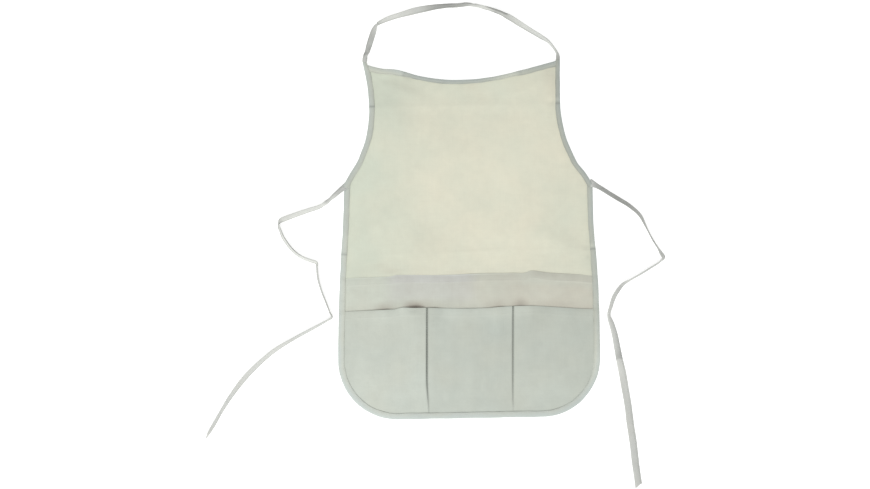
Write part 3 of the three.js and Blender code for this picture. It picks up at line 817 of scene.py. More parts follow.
def run_lengths(line: Array) -> Array:
    """Length along a line of points, at each point."""
    steps = np.linalg.norm(np.diff(line, axis=0), axis=1)
    return np.concatenate([[0.0], np.cumsum(steps)])


def spaced(line: Array, step: float) -> Array:
    """The same line with points an even step apart.

    Args:
        line: Points of the line, one in each row.
        step: Wanted distance between points.

    Returns:
        Points of the evenly spaced line.
    """
    along = run_lengths(line)
    places = np.linspace(0.0, along[-1], max(2, round(along[-1] / step) + 1))
    return np.stack([np.interp(places, along, column) for column in line.T], axis=1)


def headings(line: Array) -> Array:
    """Unit direction of travel at each point of a line."""
    ahead = np.gradient(line, axis=0)
    return ahead / np.linalg.norm(ahead, axis=1, keepdims=True)


class SmoothTable:
    """A smooth function through one column of a table."""

    def __init__(self, places: Sequence[float], values: Sequence[float]) -> None:
        """Keeps the table and works out its slopes.

        Args:
            places: Rising places.
            values: Value at each place.
        """
        self.places = np.asarray(places, float)
        self.values = np.asarray(values, float)
        self.slopes = np.gradient(self.values, self.places)

    def __call__(self, at: Array | float) -> Array:
        """Value of the function.

        Args:
            at: Places to read, which are kept inside the table.

        Returns:
            The value at each place.
        """
        at = np.clip(np.asarray(at, float), self.places[0], self.places[-1])
        k = np.clip(np.searchsorted(self.places, at, side="right") - 1, 0, len(self.places) - 2)
        step = self.places[k + 1] - self.places[k]
        t = (at - self.places[k]) / step
        rise = t * t * (3.0 - 2.0 * t)
        leave = t * (1.0 - t) ** 2 * step * self.slopes[k]
        arrive = t * t * (t - 1.0) * step * self.slopes[k + 1]
        return lerp(self.values[k], self.values[k + 1], rise) + leave + arrive


def table_of(rows: Sequence[NamedTuple], along: str, column: str) -> SmoothTable:
    """Smooth function through one column of named rows."""
    return SmoothTable([getattr(r, along) for r in rows], [getattr(r, column) for r in rows])


class Value:
    """A shader socket that can be added, multiplied and so on as a number can."""

    def __init__(self, tree: "FinishTree", socket: bpy.types.NodeSocket) -> None:
        """Wraps a socket of a tree."""
        self.tree = tree
        self.socket = socket

    def __add__(self, other: "Value | float") -> "Value":
        """Sum."""
        return self.tree.math("ADD", self, other)

    __radd__ = __add__

    def __sub__(self, other: "Value | float") -> "Value":
        """Difference."""
        return self.tree.math("SUBTRACT", self, other)

    def __rsub__(self, other: float) -> "Value":
        """Difference from a number."""
        return self.tree.math("SUBTRACT", other, self)

    def __mul__(self, other: "Value | float") -> "Value":
        """Product."""
        return self.tree.math("MULTIPLY", self, other)

    __rmul__ = __mul__


class FinishTree:
    """The node tree of one finish."""

    def __init__(self, name: str) -> None:
        """Makes an empty material.

        Args:
            name: Name of the material.
        """
        self.material = bpy.data.materials.new(name)
        self.material.use_nodes = True
        self.nodes = self.material.node_tree.nodes
        self.links = self.material.node_tree.links
        self.nodes.clear()

    def node(self, kind: str, settings: dict | None = None, sockets: dict | None = None) -> bpy.types.Node:
        """Adds a node.

        Args:
            kind: Node type.
            settings: Properties of the node, set first.
            sockets: Values, or links from other sockets, by the input's name or number.

        Returns:
            The node.
        """
        made = self.nodes.new(kind)
        for name, value in (settings or {}).items():
            setattr(made, name, value)
        for name, value in (sockets or {}).items():
            if isinstance(value, Value):
                self.links.new(value.socket, made.inputs[name])
            else:
                made.inputs[name].default_value = value
        return made

    def value(self, kind: str, settings: dict | None, sockets: dict | None, output: int | str = 0) -> Value:
        """Adds a node and gives one of its outputs.

        Args:
            kind: Node type.
            settings: Properties of the node.
            sockets: Values or links of its inputs.
            output: Which output.

        Returns:
            The output.
        """
        return Value(self, self.node(kind, settings, sockets).outputs[output])

    def math(self, operation: str, *values: "Value | float") -> Value:
        """Adds a Math node on values."""
        return self.value("ShaderNodeMath", {"operation": operation}, dict(enumerate(values)))

    def mix(self, share: "Value | float", first: "Value | Colour", second: "Value | Colour") -> Value:
        """Mixes two colours.

        Args:
            share: Share of the second colour.
            first: Colour at 0.
            second: Colour at 1.

        Returns:
            The mixed colour.
        """
        colours = [c if isinstance(c, Value) else (*c, 1.0) for c in (first, second)]
        sockets = {0: share, 6: colours[0], 7: colours[1]}
        return self.value("ShaderNodeMix", {"data_type": "RGBA"}, sockets, 2)

    def scaled(self, place: Value, by: Colour) -> Value:
        """Multiplies a vector by a number on each axis."""
        return self.value("ShaderNodeVectorMath", {"operation": "MULTIPLY"}, {0: place, 1: by})

    def sized(self, place: Value, unit: float) -> Value:
        """A place counted in units of one size."""
        return self.scaled(place, (1.0 / unit,) * 3)

    def turned(self, place: Value, degrees: float) -> Value:
        """Turns a vector about the third axis."""
        sockets = {"Vector": place, "Angle": math.radians(degrees)}
        return self.value("ShaderNodeVectorRotate", {"rotation_type": "Z_AXIS"}, sockets)

    def cloudy(self, place: Value, detail: float = 2.0, rough: float = 0.55) -> Value:
        """Noise of about one bump in each unit of place, from 0 to 1."""
        sockets = {"Vector": place, "Scale": 1.0, "Detail": detail, "Roughness": rough}
        return self.value("ShaderNodeTexNoise", None, sockets)

    def share(self, value: Value) -> Value:
        """The value kept between 0 and 1."""
        return self.value("ShaderNodeClamp", None, {0: value})

    def held(self, name: str, output: str = "Fac") -> Value:
        """Reads what a mesh keeps at its points."""
        return self.value("ShaderNodeAttribute", {"attribute_name": name}, None, output)

    def spot(self) -> Value:
        """Where on its object a point is."""
        return self.value("ShaderNodeTexCoord", None, None, "Object")

    def bump(self, strength: float, distance: float, height: Value, under: Value | None = None) -> Value:
        """Turns a relief into a normal.

        Args:
            strength: Share of the relief that shows.
            distance: Height of the relief where its value is 1.
            height: The relief.
            under: Normal of a relief that this one lies on, if there is one.

        Returns:
            The normal.
        """
        sockets = {"Strength": strength, "Distance": distance, "Height": height}
        if under is not None:
            sockets["Normal"] = under
        return self.value("ShaderNodeBump", None, sockets)

    def close(self, shader: bpy.types.Node) -> bpy.types.Material:
        """Links the last shader to the output and gives the material back."""
        out = self.node("ShaderNodeOutputMaterial")
        self.links.new(shader.outputs[0], out.inputs["Surface"])
        return self.material


@dataclass(frozen=True)
class ClothFinish:
    """Matt woven cotton, with the threads, slubs and patches that a washed cloth shows, and the painted light and
    shade that its pieces carry in their tone.
    """

    name: str
    cool: Colour
    warm: Colour
    deep: Colour
    mauve: Colour = (0.565, 0.558, 0.565)
    weave: Weave = Weave.STRAIGHT
    thread: float = 0.0007
    thread_high: float = 0.00016
    thread_dark: float = 0.12
    thread_shine: float = 0.06
    thread_bow: float = 0.55
    relief: float = 0.6
    patch: float = 0.085
    blotch: float = 0.017
    blotch_detail: float = 3.0
    blotch_dark: float = 0.2
    blotch_rough: float = 0.1
    crumple: float = 0.35
    crumple_high: float = 0.0012
    slub: tuple[float, float] = (0.0016, 0.045)
    slub_dark: float = 0.2
    slub_high: float = 1.2
    roughness: float = 0.88
    specular: float = 0.2
    sheen: float = 0.12
    sheen_rough: float = 0.6
    wear: float = 1.0

    def threads(self, tree: FinishTree, place: Value) -> Value:
        """Height of the crossing threads.

        Args:
            tree: Tree to add to.
            place: Place on the cloth in metres, across and along.

        Returns:
            Height from 0 to 1.
        """
        laid = tree.sized(tree.turned(place, self.weave.value), self.thread)
        made = tree.node("ShaderNodeSeparateXYZ", None, {0: laid})
        across, along = Value(tree, made.outputs[0]), Value(tree, made.outputs[1])
        warp = tree.math("ABSOLUTE", tree.math("SINE", across * math.pi))
        weft = tree.math("ABSOLUTE", tree.math("SINE", along * math.pi))
        cell = tree.math("FLOOR", across) + tree.math("FLOOR", along)
        over = tree.math("PINGPONG", cell, 1.0)
        bow = self.thread_bow
        up, down = warp * (bow + (1.0 - bow) * weft), weft * (bow + (1.0 - bow) * warp)
        return over * up + (1.0 - over) * down

    def slubs(self, tree: FinishTree, place: Value) -> Value:
        """Thick and thin stretches of thread both ways.

        Args:
            tree: Tree to add to.
            place: Place on the cloth in metres, across and along.

        Returns:
            Thickness from 0 to 1.
        """
        short, long = (1.0 / size for size in self.slub)
        laid = tree.turned(place, self.weave.value)
        warp = tree.cloudy(tree.scaled(laid, (short, long, short)))
        weft = tree.cloudy(tree.scaled(laid, (long, short, short)))
        return 0.5 * warp + 0.5 * weft

    def place(self, tree: FinishTree) -> Value:
        """Where on the cloth a point is."""
        return tree.spot()

    def material(self) -> bpy.types.Material:
        """Builds the material.

        Returns:
            Cloth whose colour, roughness and relief vary with its threads, patches and seams.
        """
        tree = FinishTree(self.name)
        place = self.place(tree)
        threads = self.threads(tree, place)
        slubs = self.slubs(tree, place)
        patch = tree.cloudy(tree.sized(place, self.patch))
        blotch = tree.cloudy(tree.sized(place, self.blotch), self.blotch_detail)
        warmth = tree.share(patch + tree.held("tint"))
        worn = self.slub_dark * (0.5 - slubs) + self.blotch_dark * (0.5 - blotch)
        worn = self.thread_dark * (1.0 - threads) + self.wear * worn
        # The held tone carries painted shade and highlights as well as the cloth's own tone
        dark = tree.share(worn + tree.held("tone"))
        clean = tree.mix(tree.held("mauve"), tree.mix(warmth, self.cool, self.warm), self.mauve)
        crumple = tree.bump(self.crumple, self.crumple_high, blotch)
        relief = tree.bump(self.relief, self.thread_high, threads + self.slub_high * slubs, crumple)
        shader = tree.node("ShaderNodeBsdfPrincipled", None, {
            "Base Color": tree.mix(dark, clean, self.deep),
            "Roughness": self.roughness + self.blotch_rough * (blotch - 0.5) - self.thread_shine * threads,
            "Normal": relief,
            "Sheen Weight": self.sheen,
            "Sheen Roughness": self.sheen_rough,
            "Specular IOR Level": self.specular,
        })
        return tree.close(shader)


@dataclass(frozen=True)
class TapeFinish(ClothFinish):
    """Cotton tape cut on the bias, whose threads follow the run of the tape."""

    weave: Weave = Weave.BIAS
    thread: float = 0.0006

    def place(self, tree: FinishTree) -> Value:
        """Where on the tape a point is: across it and along it."""
        return tree.held("lay", "Vector")


@dataclass(frozen=True)
class ThreadFinish:
    """Spun sewing thread."""

    name: str
    colour: Colour
    deep: Colour
    ply: float = 0.0007
    ply_high: float = 0.0001
    ply_shine: float = 0.3
    relief: float = 0.5
    roughness: float = 0.9
    sheen: float = 0.1

    def material(self) -> bpy.types.Material:
        """Builds the material.

        Returns:
            Thread with a twist that shows in its colour and relief.
        """
        tree = FinishTree(self.name)
        fibre = tree.cloudy(tree.sized(tree.spot(), self.ply))
        shader = tree.node("ShaderNodeBsdfPrincipled", None, {
            "Base Color": tree.mix(fibre, self.deep, self.colour),
            "Roughness": self.roughness - self.ply_shine * fibre,
            "Normal": tree.bump(self.relief, self.ply_high, fibre),
            "Sheen Weight": self.sheen,
        })
        return tree.close(shader)


BODY_CLOTH = ClothFinish(
    "cream_cotton",
    cool=(0.610, 0.650, 0.540),
    warm=(0.712, 0.692, 0.558),
    deep=(0.360, 0.365, 0.305),
)
# Its brownish deep colour gives the painted shade in and above the gaping pocket mouths its hue
BACKING_CLOTH = ClothFinish(
    "grey_backing_cotton",
    cool=(0.555, 0.592, 0.515),
    warm=(0.560, 0.552, 0.468),
    deep=(0.270, 0.240, 0.205),
)
# Its very dark deep colour is reached in the painted shade of the divider grooves; the cloth's other tone mixes only a
# little way towards it
POCKET_CLOTH = ClothFinish(
    "grey_pocket_cotton",
    cool=(0.545, 0.588, 0.530),
    warm=(0.560, 0.585, 0.512),
    deep=(0.065, 0.074, 0.061),
    wear=0.55,
)
EDGE_TAPE = TapeFinish(
    "grey_edge_tape",
    cool=(0.505, 0.552, 0.522),
    warm=(0.540, 0.557, 0.475),
    deep=(0.230, 0.250, 0.230),
)
STRAP_TAPE = TapeFinish(
    "grey_strap_tape",
    cool=(0.556, 0.576, 0.556),
    warm=(0.576, 0.576, 0.534),
    deep=(0.230, 0.235, 0.220),
)
THREAD = ThreadFinish("grey_sewing_thread", colour=(0.42, 0.43, 0.40), deep=(0.26, 0.27, 0.25))
PALE_THREAD = ThreadFinish("pale_sewing_thread", colour=(0.50, 0.51, 0.46), deep=(0.40, 0.41, 0.37))


def linked(name: str, data: bpy.types.ID) -> bpy.types.Object:
    """Makes an object and adds it to the scene.

    Args:
        name: Name of the object.
        data: Its mesh, light or camera.

    Returns:
        The object.
    """
    made = bpy.data.objects.new(name, data)
    bpy.context.scene.collection.objects.link(made)
    return made


@dataclass
class Piece:
    """A mesh in the making: its points and faces, and what it keeps at each point."""

    name: str
    points: Array
    faces: list
    held: dict[str, Array] = field(default_factory=dict)
    sharp: float = 55.0

    def volume(self) -> float:
        """Measures the room inside the faces.

        Returns:
            Six times the volume, negative where the faces look inwards.
        """
        total = 0.0
        for group in self.faces:
            a, b, c = (self.points[group[:, k]] for k in (0, 1, 2))
            total += np.einsum("ij,ij->", a, np.cross(b, c))
            if group.shape[1] == 4:
                d = self.points[group[:, 3]]
                total += np.einsum("ij,ij->", a, np.cross(c, d))
        return float(total)

    def make(self, finish: bpy.types.Material, slot: str, node: str | None = None) -> bpy.types.Object:
        """Makes the object, dresses it and lets it ride on the body.

        Args:
            finish: Material of the whole piece.
            slot: The record's slot for that finish.
            node: Solid that the piece stands for, if there is one.

        Returns:
            The object.
        """
        groups = self.faces if self.volume() >= 0.0 else [g[:, ::-1] for g in self.faces]
        mesh = bpy.data.meshes.new(self.name)
        mesh.from_pydata(self.points.tolist(), [], [f for g in groups for f in g.tolist()])
        for name, values in self.held.items():
            kind, key = ("FLOAT", "value") if values.ndim == 1 else ("FLOAT_VECTOR", "vector")
            kept = mesh.attributes.new(name, kind, "POINT")
            kept.data.foreach_set(key, values.astype(np.float32).ravel())
        mesh.shade_smooth()
        mesh.set_sharp_from_angle(angle=math.radians(self.sharp))
        mesh.materials.append(finish)
        made = linked(self.name, mesh)
        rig.ride(made, BODY)
        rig.slot(made, slot)
        if node is not None:
            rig.replaces(made, node)
        LOG.info("%s: %d points, %d faces", self.name, len(mesh.vertices), len(mesh.polygons))
        return made


def sheet_piece(name: str, x: Array, y: Array, under: Array, thick: Array, tone: Array, tint: Array) -> Piece:
    """A closed sheet of cloth over a grid.

    Args:
        name: Name of the piece.
        x: Grid of places across.
        y: Grid of places along.
        under: Height of the underside.
        thick: Wall at each place, square to the surface.
        tone: How far the cloth is darkened at each place.
        tint: How far it leans to its warm colour.

    Returns:
        The piece.
    """
    low = np.stack([x, y, under], axis=-1)
    normal = np.cross(np.gradient(low, axis=1), np.gradient(low, axis=0))
    normal /= np.linalg.norm(normal, axis=-1, keepdims=True)
    high = low + normal * thick[..., None]
    rows, columns = x.shape
    index = np.arange(rows * columns).reshape(rows, columns)
    corners = [index[:-1, :-1], index[:-1, 1:], index[1:, 1:], index[1:, :-1]]
    quads = np.stack(corners, axis=-1).reshape(-1, 4)
    rim = np.concatenate([index[0, :-1], index[:-1, -1], index[-1, :0:-1], index[:0:-1, 0]])
    after = np.roll(rim, -1)
    count = rows * columns
    wall = np.stack([rim, after, after + count, rim + count], axis=-1)
    points = np.concatenate([low.reshape(-1, 3), high.reshape(-1, 3)])
    held = {"tone": np.tile(tone.ravel(), 2), "tint": np.tile(tint.ravel(), 2)}
    return Piece(name, points, [quads[:, ::-1], quads + count, wall], held)


def loft_piece(name: str, sections: Array, held: dict[str, Array]) -> Piece:
    """A closed body through equal sections, with both ends closed.

    Args:
        name: Name of the piece.
        sections: Sections by points by coordinates.
        held: Values by section and point.

    Returns:
        The piece.
    """
    count, sides = sections.shape[:2]
    index = np.arange(count * sides).reshape(count, sides)
    after = np.roll(index, -1, axis=1)
    quads = np.stack([index[:-1], after[:-1], after[1:], index[1:]], axis=-1).reshape(-1, 4)
    caps = [index[0][::-1][None, :], index[-1][None, :]]
    kept = {k: v.reshape(-1, 3) if v.ndim == 3 else v.ravel() for k, v in held.items()}
    return Piece(name, sections.reshape(-1, 3), [quads, *caps], kept)


@dataclass
class Stitching:
    """Rows of lockstitch, each stitch a grain of thread that dips into the cloth at both ends."""

    pitch: float = 0.0036
    length: float = 0.0031
    thick: float = 0.00055
    dip: float = 0.00035
    sides: int = 5
    grains: list[Array] = field(default_factory=list)

    def row(self, line: Array, normal: Array) -> None:
        """Sews along a line.

        Args:
            line: Points on the surface of the cloth.
            normal: Direction out of the cloth at each point.
        """
        along = run_lengths(line)
        count = max(1, int(along[-1] / self.pitch))
        middle = (np.arange(count) + 0.5) * along[-1] / count
        at, out, ahead = (
            np.stack([np.interp(middle, along, column) for column in values.T], axis=1)
            for values in (line, normal, headings(line))
        )
        self.grain(at, ahead, out)

    def grain(self, at: Array, ahead: Array, out: Array) -> None:
        """Adds one stitch at each place.

        Args:
            at: Middles of the stitches.
            ahead: Their directions.
            out: Directions out of the cloth.
        """
        ahead = ahead / np.linalg.norm(ahead, axis=1, keepdims=True)
        beside = np.cross(out, ahead)
        beside /= np.linalg.norm(beside, axis=1, keepdims=True)
        out = np.cross(ahead, beside)
        shares = np.array([-1.0, -0.6, 0.0, 0.6, 1.0])
        swell = np.array([0.0, 0.8, 1.0, 0.8, 0.0]) * self.thick / 2
        sink = np.array([1.0, 0.25, 0.0, 0.25, 1.0]) * self.dip
        turns = np.arange(self.sides) * 2.0 * math.pi / self.sides
        rings = []
        for share, radius, depth in zip(shares, swell, sink):
            middle = at + ahead * (share * self.length / 2) - out * depth
            if radius == 0.0:
                rings.append(middle[:, None, :])
                continue
            round_about = beside[:, None, :] * np.cos(turns)[None, :, None]
            round_about = round_about + out[:, None, :] * np.sin(turns)[None, :, None]
            rings.append(middle[:, None, :] + radius * round_about)
        self.grains.append(np.concatenate(rings, axis=1))

    def make(self, name: str, slot: str, thread: str = "thread") -> bpy.types.Object:
        """Joins all the stitches into one piece.

        Args:
            name: Name of the piece.
            slot: The record's slot of the cloth that it is sewn in.
            thread: Which thread it is sewn with.

        Returns:
            The object.
        """
        grains = np.concatenate(self.grains)
        size = grains.shape[1]
        sides, last = self.sides, size - 1
        k = np.arange(sides)
        n = (k + 1) % sides
        tips = np.concatenate([
            np.stack([np.zeros_like(k), 1 + n, 1 + k], axis=1),
            np.stack([np.full_like(k, last), 1 + 2 * sides + k, 1 + 2 * sides + n], axis=1),
        ])
        bands = np.concatenate([
            np.stack([1 + b + k, 1 + b + n, 1 + b + sides + n, 1 + b + sides + k], axis=1)
            for b in (0, sides)
        ])
        start = (np.arange(len(grains)) * size)[:, None, None]
        faces = [(tips[None] + start).reshape(-1, 3), (bands[None] + start).reshape(-1, 4)]
        return Piece(name, grains.reshape(-1, 3), faces).make(MATERIALS[thread], slot)


MATERIALS: dict[str, bpy.types.Material] = {}


@dataclass
class ApronOutline:
    """Finished edge of the apron, counter-clockwise seen from above."""

    corner_radius: float = 0.126
    skirt_half: float = 0.280
    hem: dict[Side, float] = field(default_factory=lambda: {Side.LEFT: -0.4465, Side.RIGHT: -0.441})
    waist: dict[Side, float] = field(default_factory=lambda: {Side.LEFT: 0.057, Side.RIGHT: 0.059})
    top: dict[Side, float] = field(default_factory=lambda: {Side.LEFT: 0.316, Side.RIGHT: 0.321})
    fine: float = 0.002
    ring_step: float = 0.006
    corner_points: int = 60
    armhole_points: int = 130
    neck_points: int = 200
    batch: int = 4000

    def __post_init__(self) -> None:
        """Works out the edge curves and the ring."""
        self.skirt = {s: table_of(SIDES, "y", s.name.lower()) for s in Side}
        self.armhole = {s: table_of(ARMHOLES, "y", s.name.lower()) for s in Side}
        self.neckline = table_of(NECKLINE, "x", "y")
        left, right = (self.armhole_line(s) for s in Side)
        ring = np.concatenate([self.skirt_line(), right, self.neck_line(), left])
        self.ring = spaced(np.concatenate([ring, ring[:1]]), self.ring_step)

    def side_x(self, side: Side, y: Array, inset: float = 0.0) -> Array:
        """Place of a side edge.

        Args:
            side: Which edge.
            y: Heights to read.
            inset: How far inside the finished edge.

        Returns:
            x at each height.
        """
        sign, y = side.value, np.asarray(y, float)
        centre_y = self.hem[side] + self.corner_radius
        radius = self.corner_radius - inset
        drop = np.clip(centre_y - y, 0.0, radius)
        corner = sign * (self.skirt_half - self.corner_radius + np.sqrt(radius**2 - drop**2))
        below, step = y < self.waist[side], self.fine
        edge = np.where(below, self.skirt[side](y), self.armhole[side](y))
        ahead = np.where(below, self.skirt[side](y + step), self.armhole[side](y + step))
        upper = edge - sign * inset * np.hypot(1.0, (ahead - edge) / step)
        return np.where(y < centre_y, corner, upper)

    def corner_line(self, side: Side) -> Array:
        """Rounded corner of the skirt.

        Args:
            side: Which corner.

        Returns:
            Points from left to right.
        """
        radius = self.corner_radius
        centre = np.array([side.value * (self.skirt_half - radius), self.hem[side] + radius])
        start = math.pi if side is Side.LEFT else 1.5 * math.pi
        angle = np.linspace(start, start + math.pi / 2, self.corner_points)
        return centre + radius * np.stack([np.cos(angle), np.sin(angle)], axis=1)

    def skirt_line(self) -> Array:
        """Edge of the skirt.

        Returns:
            Points from the left waist down, along the hem and up to the right waist.
        """
        low = {s: self.hem[s] + self.corner_radius for s in Side}
        left = np.arange(self.waist[Side.LEFT], low[Side.LEFT], -self.fine)
        top = self.waist[Side.RIGHT]
        right = np.append(np.arange(low[Side.RIGHT], top, self.fine), top)
        parts = [
            np.stack([self.skirt[Side.LEFT](left), left], axis=1),
            self.corner_line(Side.LEFT),
            self.corner_line(Side.RIGHT),
            np.stack([self.skirt[Side.RIGHT](right), right], axis=1),
        ]
        return np.concatenate(parts)

    def armhole_line(self, side: Side) -> Array:
        """Edge of one armhole.

        Args:
            side: Which armhole.

        Returns:
            Points going down on the left and up on the right.
        """
        y = np.linspace(self.waist[side], self.top[side], self.armhole_points)
        line = np.stack([self.armhole[side](y), y], axis=1)
        return line if side is Side.RIGHT else line[::-1]

    def neck_line(self) -> Array:
        """Edge of the neckline.

        Returns:
            Points from right to left.
        """
        ends = [float(self.armhole[s](self.top[s])) for s in (Side.RIGHT, Side.LEFT)]
        x = np.linspace(*ends, self.neck_points)
        return np.stack([x, self.neckline(x)], axis=1)

    def nearest(self, x: Array, y: Array) -> tuple[Array, Array]:
        """How far points lie from the edge.

        Args:
            x: Places across.
            y: Places along.

        Returns:
            Distance to the edge, and the length along the ring to the nearest point of it.
        """
        a, run = self.ring[:-1], np.diff(self.ring, axis=0)
        square = np.einsum("ij,ij->i", run, run)
        start = run_lengths(self.ring)[:-1]
        places = np.stack([np.ravel(x), np.ravel(y)], axis=1)
        away, along = np.empty(len(places)), np.empty(len(places))
        for part in np.array_split(np.arange(len(places)), max(1, len(places) // self.batch)):
            gap = places[part, None, :] - a[None]
            t = np.clip(np.einsum("pij,ij->pi", gap, run) / square, 0.0, 1.0)
            distance = np.linalg.norm(gap - run[None] * t[..., None], axis=2)
            best = distance.argmin(axis=1)
            rows = np.arange(len(part))
            away[part] = distance[rows, best]
            along[part] = start[best] + t[rows, best] * np.sqrt(square[best])
        return away.reshape(np.shape(x)), along.reshape(np.shape(x))


@dataclass
class Panels:
    """The three cloth panels: body, pocket backing and pocket front, as they lie on each other."""

    outline: ApronOutline
    cloth: float = 0.0008
    layer: float = 0.0013
    edge_layer: float = 0.00083
    lowest: float = 0.00002
    tuck: float = 0.002
    neck_tuck: float = 0.003
    step: float = 0.0045
    dip_from: float = 0.66
    settle: Ramp = Ramp(0.050, 0.020)
    folds_in: Ramp = Ramp(0.016, 0.046)
    above_band: Ramp = Ramp(0.0, 0.046)
    billow: Relief = Relief(0.055, 15, 0.0005, 0.0005)
    rumple: Relief = Relief(0.013, 16, 0.00012)
    crease_span: tuple[float, float] = (-0.215, 0.195)
    crease_wide: float = 0.004
    crease_high: float = 0.0005
    # Painted shade along the packing creases on the body
    crease_dark: float = 0.05
    crease_fade: Relief = Relief(0.05, 14, 0.4, 0.6)
    pucker: float = 0.00035
    pucker_from: float = 0.012
    pucker_reach: float = 0.020
    pucker_fade: Relief = Relief(0.060, 11, 0.4, 0.6)
    neck_shade: Patch = Patch(-0.165, 0.265, 0.075, 0.060, 0.12)
    neck_clear: Ramp = Ramp(0.014, 0.040)
    hem_thick: float = 0.00025
    mouth_hem: float = 0.000125
    hem_rows: tuple[float, ...] = (
        0.0, 0.0012, 0.004, 0.008, 0.012, 0.0145, 0.0163, 0.0172, 0.019, 0.022, 0.026,
    )
    mouth_rows: tuple[float, float, float] = (-0.010, 0.016, 0.0012)
    follow_from: float = 0.35
    backing_columns: int = 126
    outer_columns: int = 44
    inner_columns: int = 42
    seam_columns: tuple[float, ...] = (
        0.0, 0.0004, 0.0008, 0.0012, 0.0017, 0.0024, 0.0034, 0.0048, 0.0069,
    )
    band_shown: Ramp = Ramp(0.004, 0.030)
    band_fade: Ramp = Ramp(0.013, 0.040)
    band_rise: Ramp = Ramp(0.0, 0.025)
    band_thin: Ramp = Ramp(0.0, 0.009)
    band_wall: float = 0.09
    # Painted shade on the backing close under the pocket mouth, and painted shadow above and inside each gape, warmer
    # in colour
    near_mouth: Ramp = Ramp(0.023, 0.0)
    near_dark: float = 0.06
    halo_wide: float = 1.1
    halo_warm: float = 1.6
    gape_reach: float = 0.0020
    gape_core: float = 0.45
    lip_wall: float = 0.15
    lip_deep: float = 0.006
    pocket_sides: Ramp = Ramp(0.014, 0.060)
    divider_top: float = -0.206
    divider_bottom: float = -0.431
    divider_bend: float = -0.360
    seam_half: float = 0.0011
    seam_wall: float = 0.0030
    # Widths of the painted shade in the divider grooves, left and right of each seam
    seam_dark: tuple[float, float] = (0.0014, 0.0024)
    seam_step: Ramp = Ramp(-0.001, 0.001)
    seam_row: float = 0.0006
    ajar: Relief = Relief(0.026, 37, 0.0003, 0.00035)
    bulge: float = 0.0024
    loose_at: float = 0.003
    pocket_tint: Relief = Relief(0.050, 34, 0.3)
    stitch_up: float = 0.0148
    stitch_half: float = 0.262
    stitch_points: int = 260
    thread_lift: float = 0.0001

    def __post_init__(self) -> None:
        """Reads the pocket tables."""
        self.mouth = table_of(POCKET_TOPS, "x", "mouth")
        self.band = table_of(POCKET_TOPS, "x", "band")

    def base(self, away: Array) -> Array:
        """Underside of the body: raised on the edge tape, down on the surface inside it."""
        return self.layer * self.settle.over(away)

    def puckers(self, away: Array, along: Array) -> Array:
        """Small ripples that the stitching of the tape draws into the cloth."""
        fall = np.exp(-np.maximum(away - self.pucker_from, 0.0) / self.pucker_reach)
        return self.pucker * self.pucker_fade.over(along) * summed(PUCKERS, along, away) * fall

    def soft_folds(self, x: Array, y: Array, away: Array) -> Array:
        """Soft folds, which fade towards the edges and stay above the pockets.

        Args:
            x: Places across.
            y: Places along.
            away: Distance to the edge of the apron.

        Returns:
            The height at each place.
        """
        height = np.zeros_like(x)
        for fold in FOLDS:
            turn = math.radians(fold.turn)
            along = (x - fold.x) * math.cos(turn) + (y - fold.y) * math.sin(turn)
            across = (y - fold.y) * math.cos(turn) - (x - fold.x) * math.sin(turn)
            height += fold.high * bell(along, fold.long) * bell(across, fold.wide)
        return height * self.folds_in.over(away) * self.above_band.over(y - self.band(x))

    def crease_height(self, x: Array, y: Array) -> Array:
        """Sharp low ridges left by packing, weaker in places.

        Args:
            x: Places across.
            y: Places along.

        Returns:
            The share of a full ridge at each place.
        """
        start, end = self.crease_span
        share = (x - start) / (end - start)
        ridges = sum(bell(y - lerp(c.left, c.right, share), self.crease_wide) for c in CREASES)
        return ridges * self.crease_fade.over(x, y)

    def body_grid(self) -> tuple[Array, Array]:
        """Grid of the body from hem to neckline.

        Returns:
            x and y, a row for each height.
        """
        edge, left, right = self.outline, Side.LEFT, Side.RIGHT
        tops = {s: float(edge.neckline(edge.armhole[s](edge.top[s]))) - self.neck_tuck for s in Side}
        rows = round((tops[left] - edge.hem[left]) / self.step)
        columns = round(2 * edge.skirt_half / self.step)
        v, u = np.linspace(0.0, 1.0, rows)[:, None], np.linspace(0.0, 1.0, columns)[None, :]
        left_y = lerp(edge.hem[left] + self.tuck, tops[left], v)
        right_y = lerp(edge.hem[right] + self.tuck, tops[right], v)
        x = lerp(edge.side_x(left, left_y, self.tuck), edge.side_x(right, right_y, self.tuck), u)
        level = lerp(left_y, right_y, u)
        dip = edge.neckline(x[-1]) - self.neck_tuck - level[-1]
        y = level + dip * smoothstep(v, self.dip_from, 1.0)
        return x, y

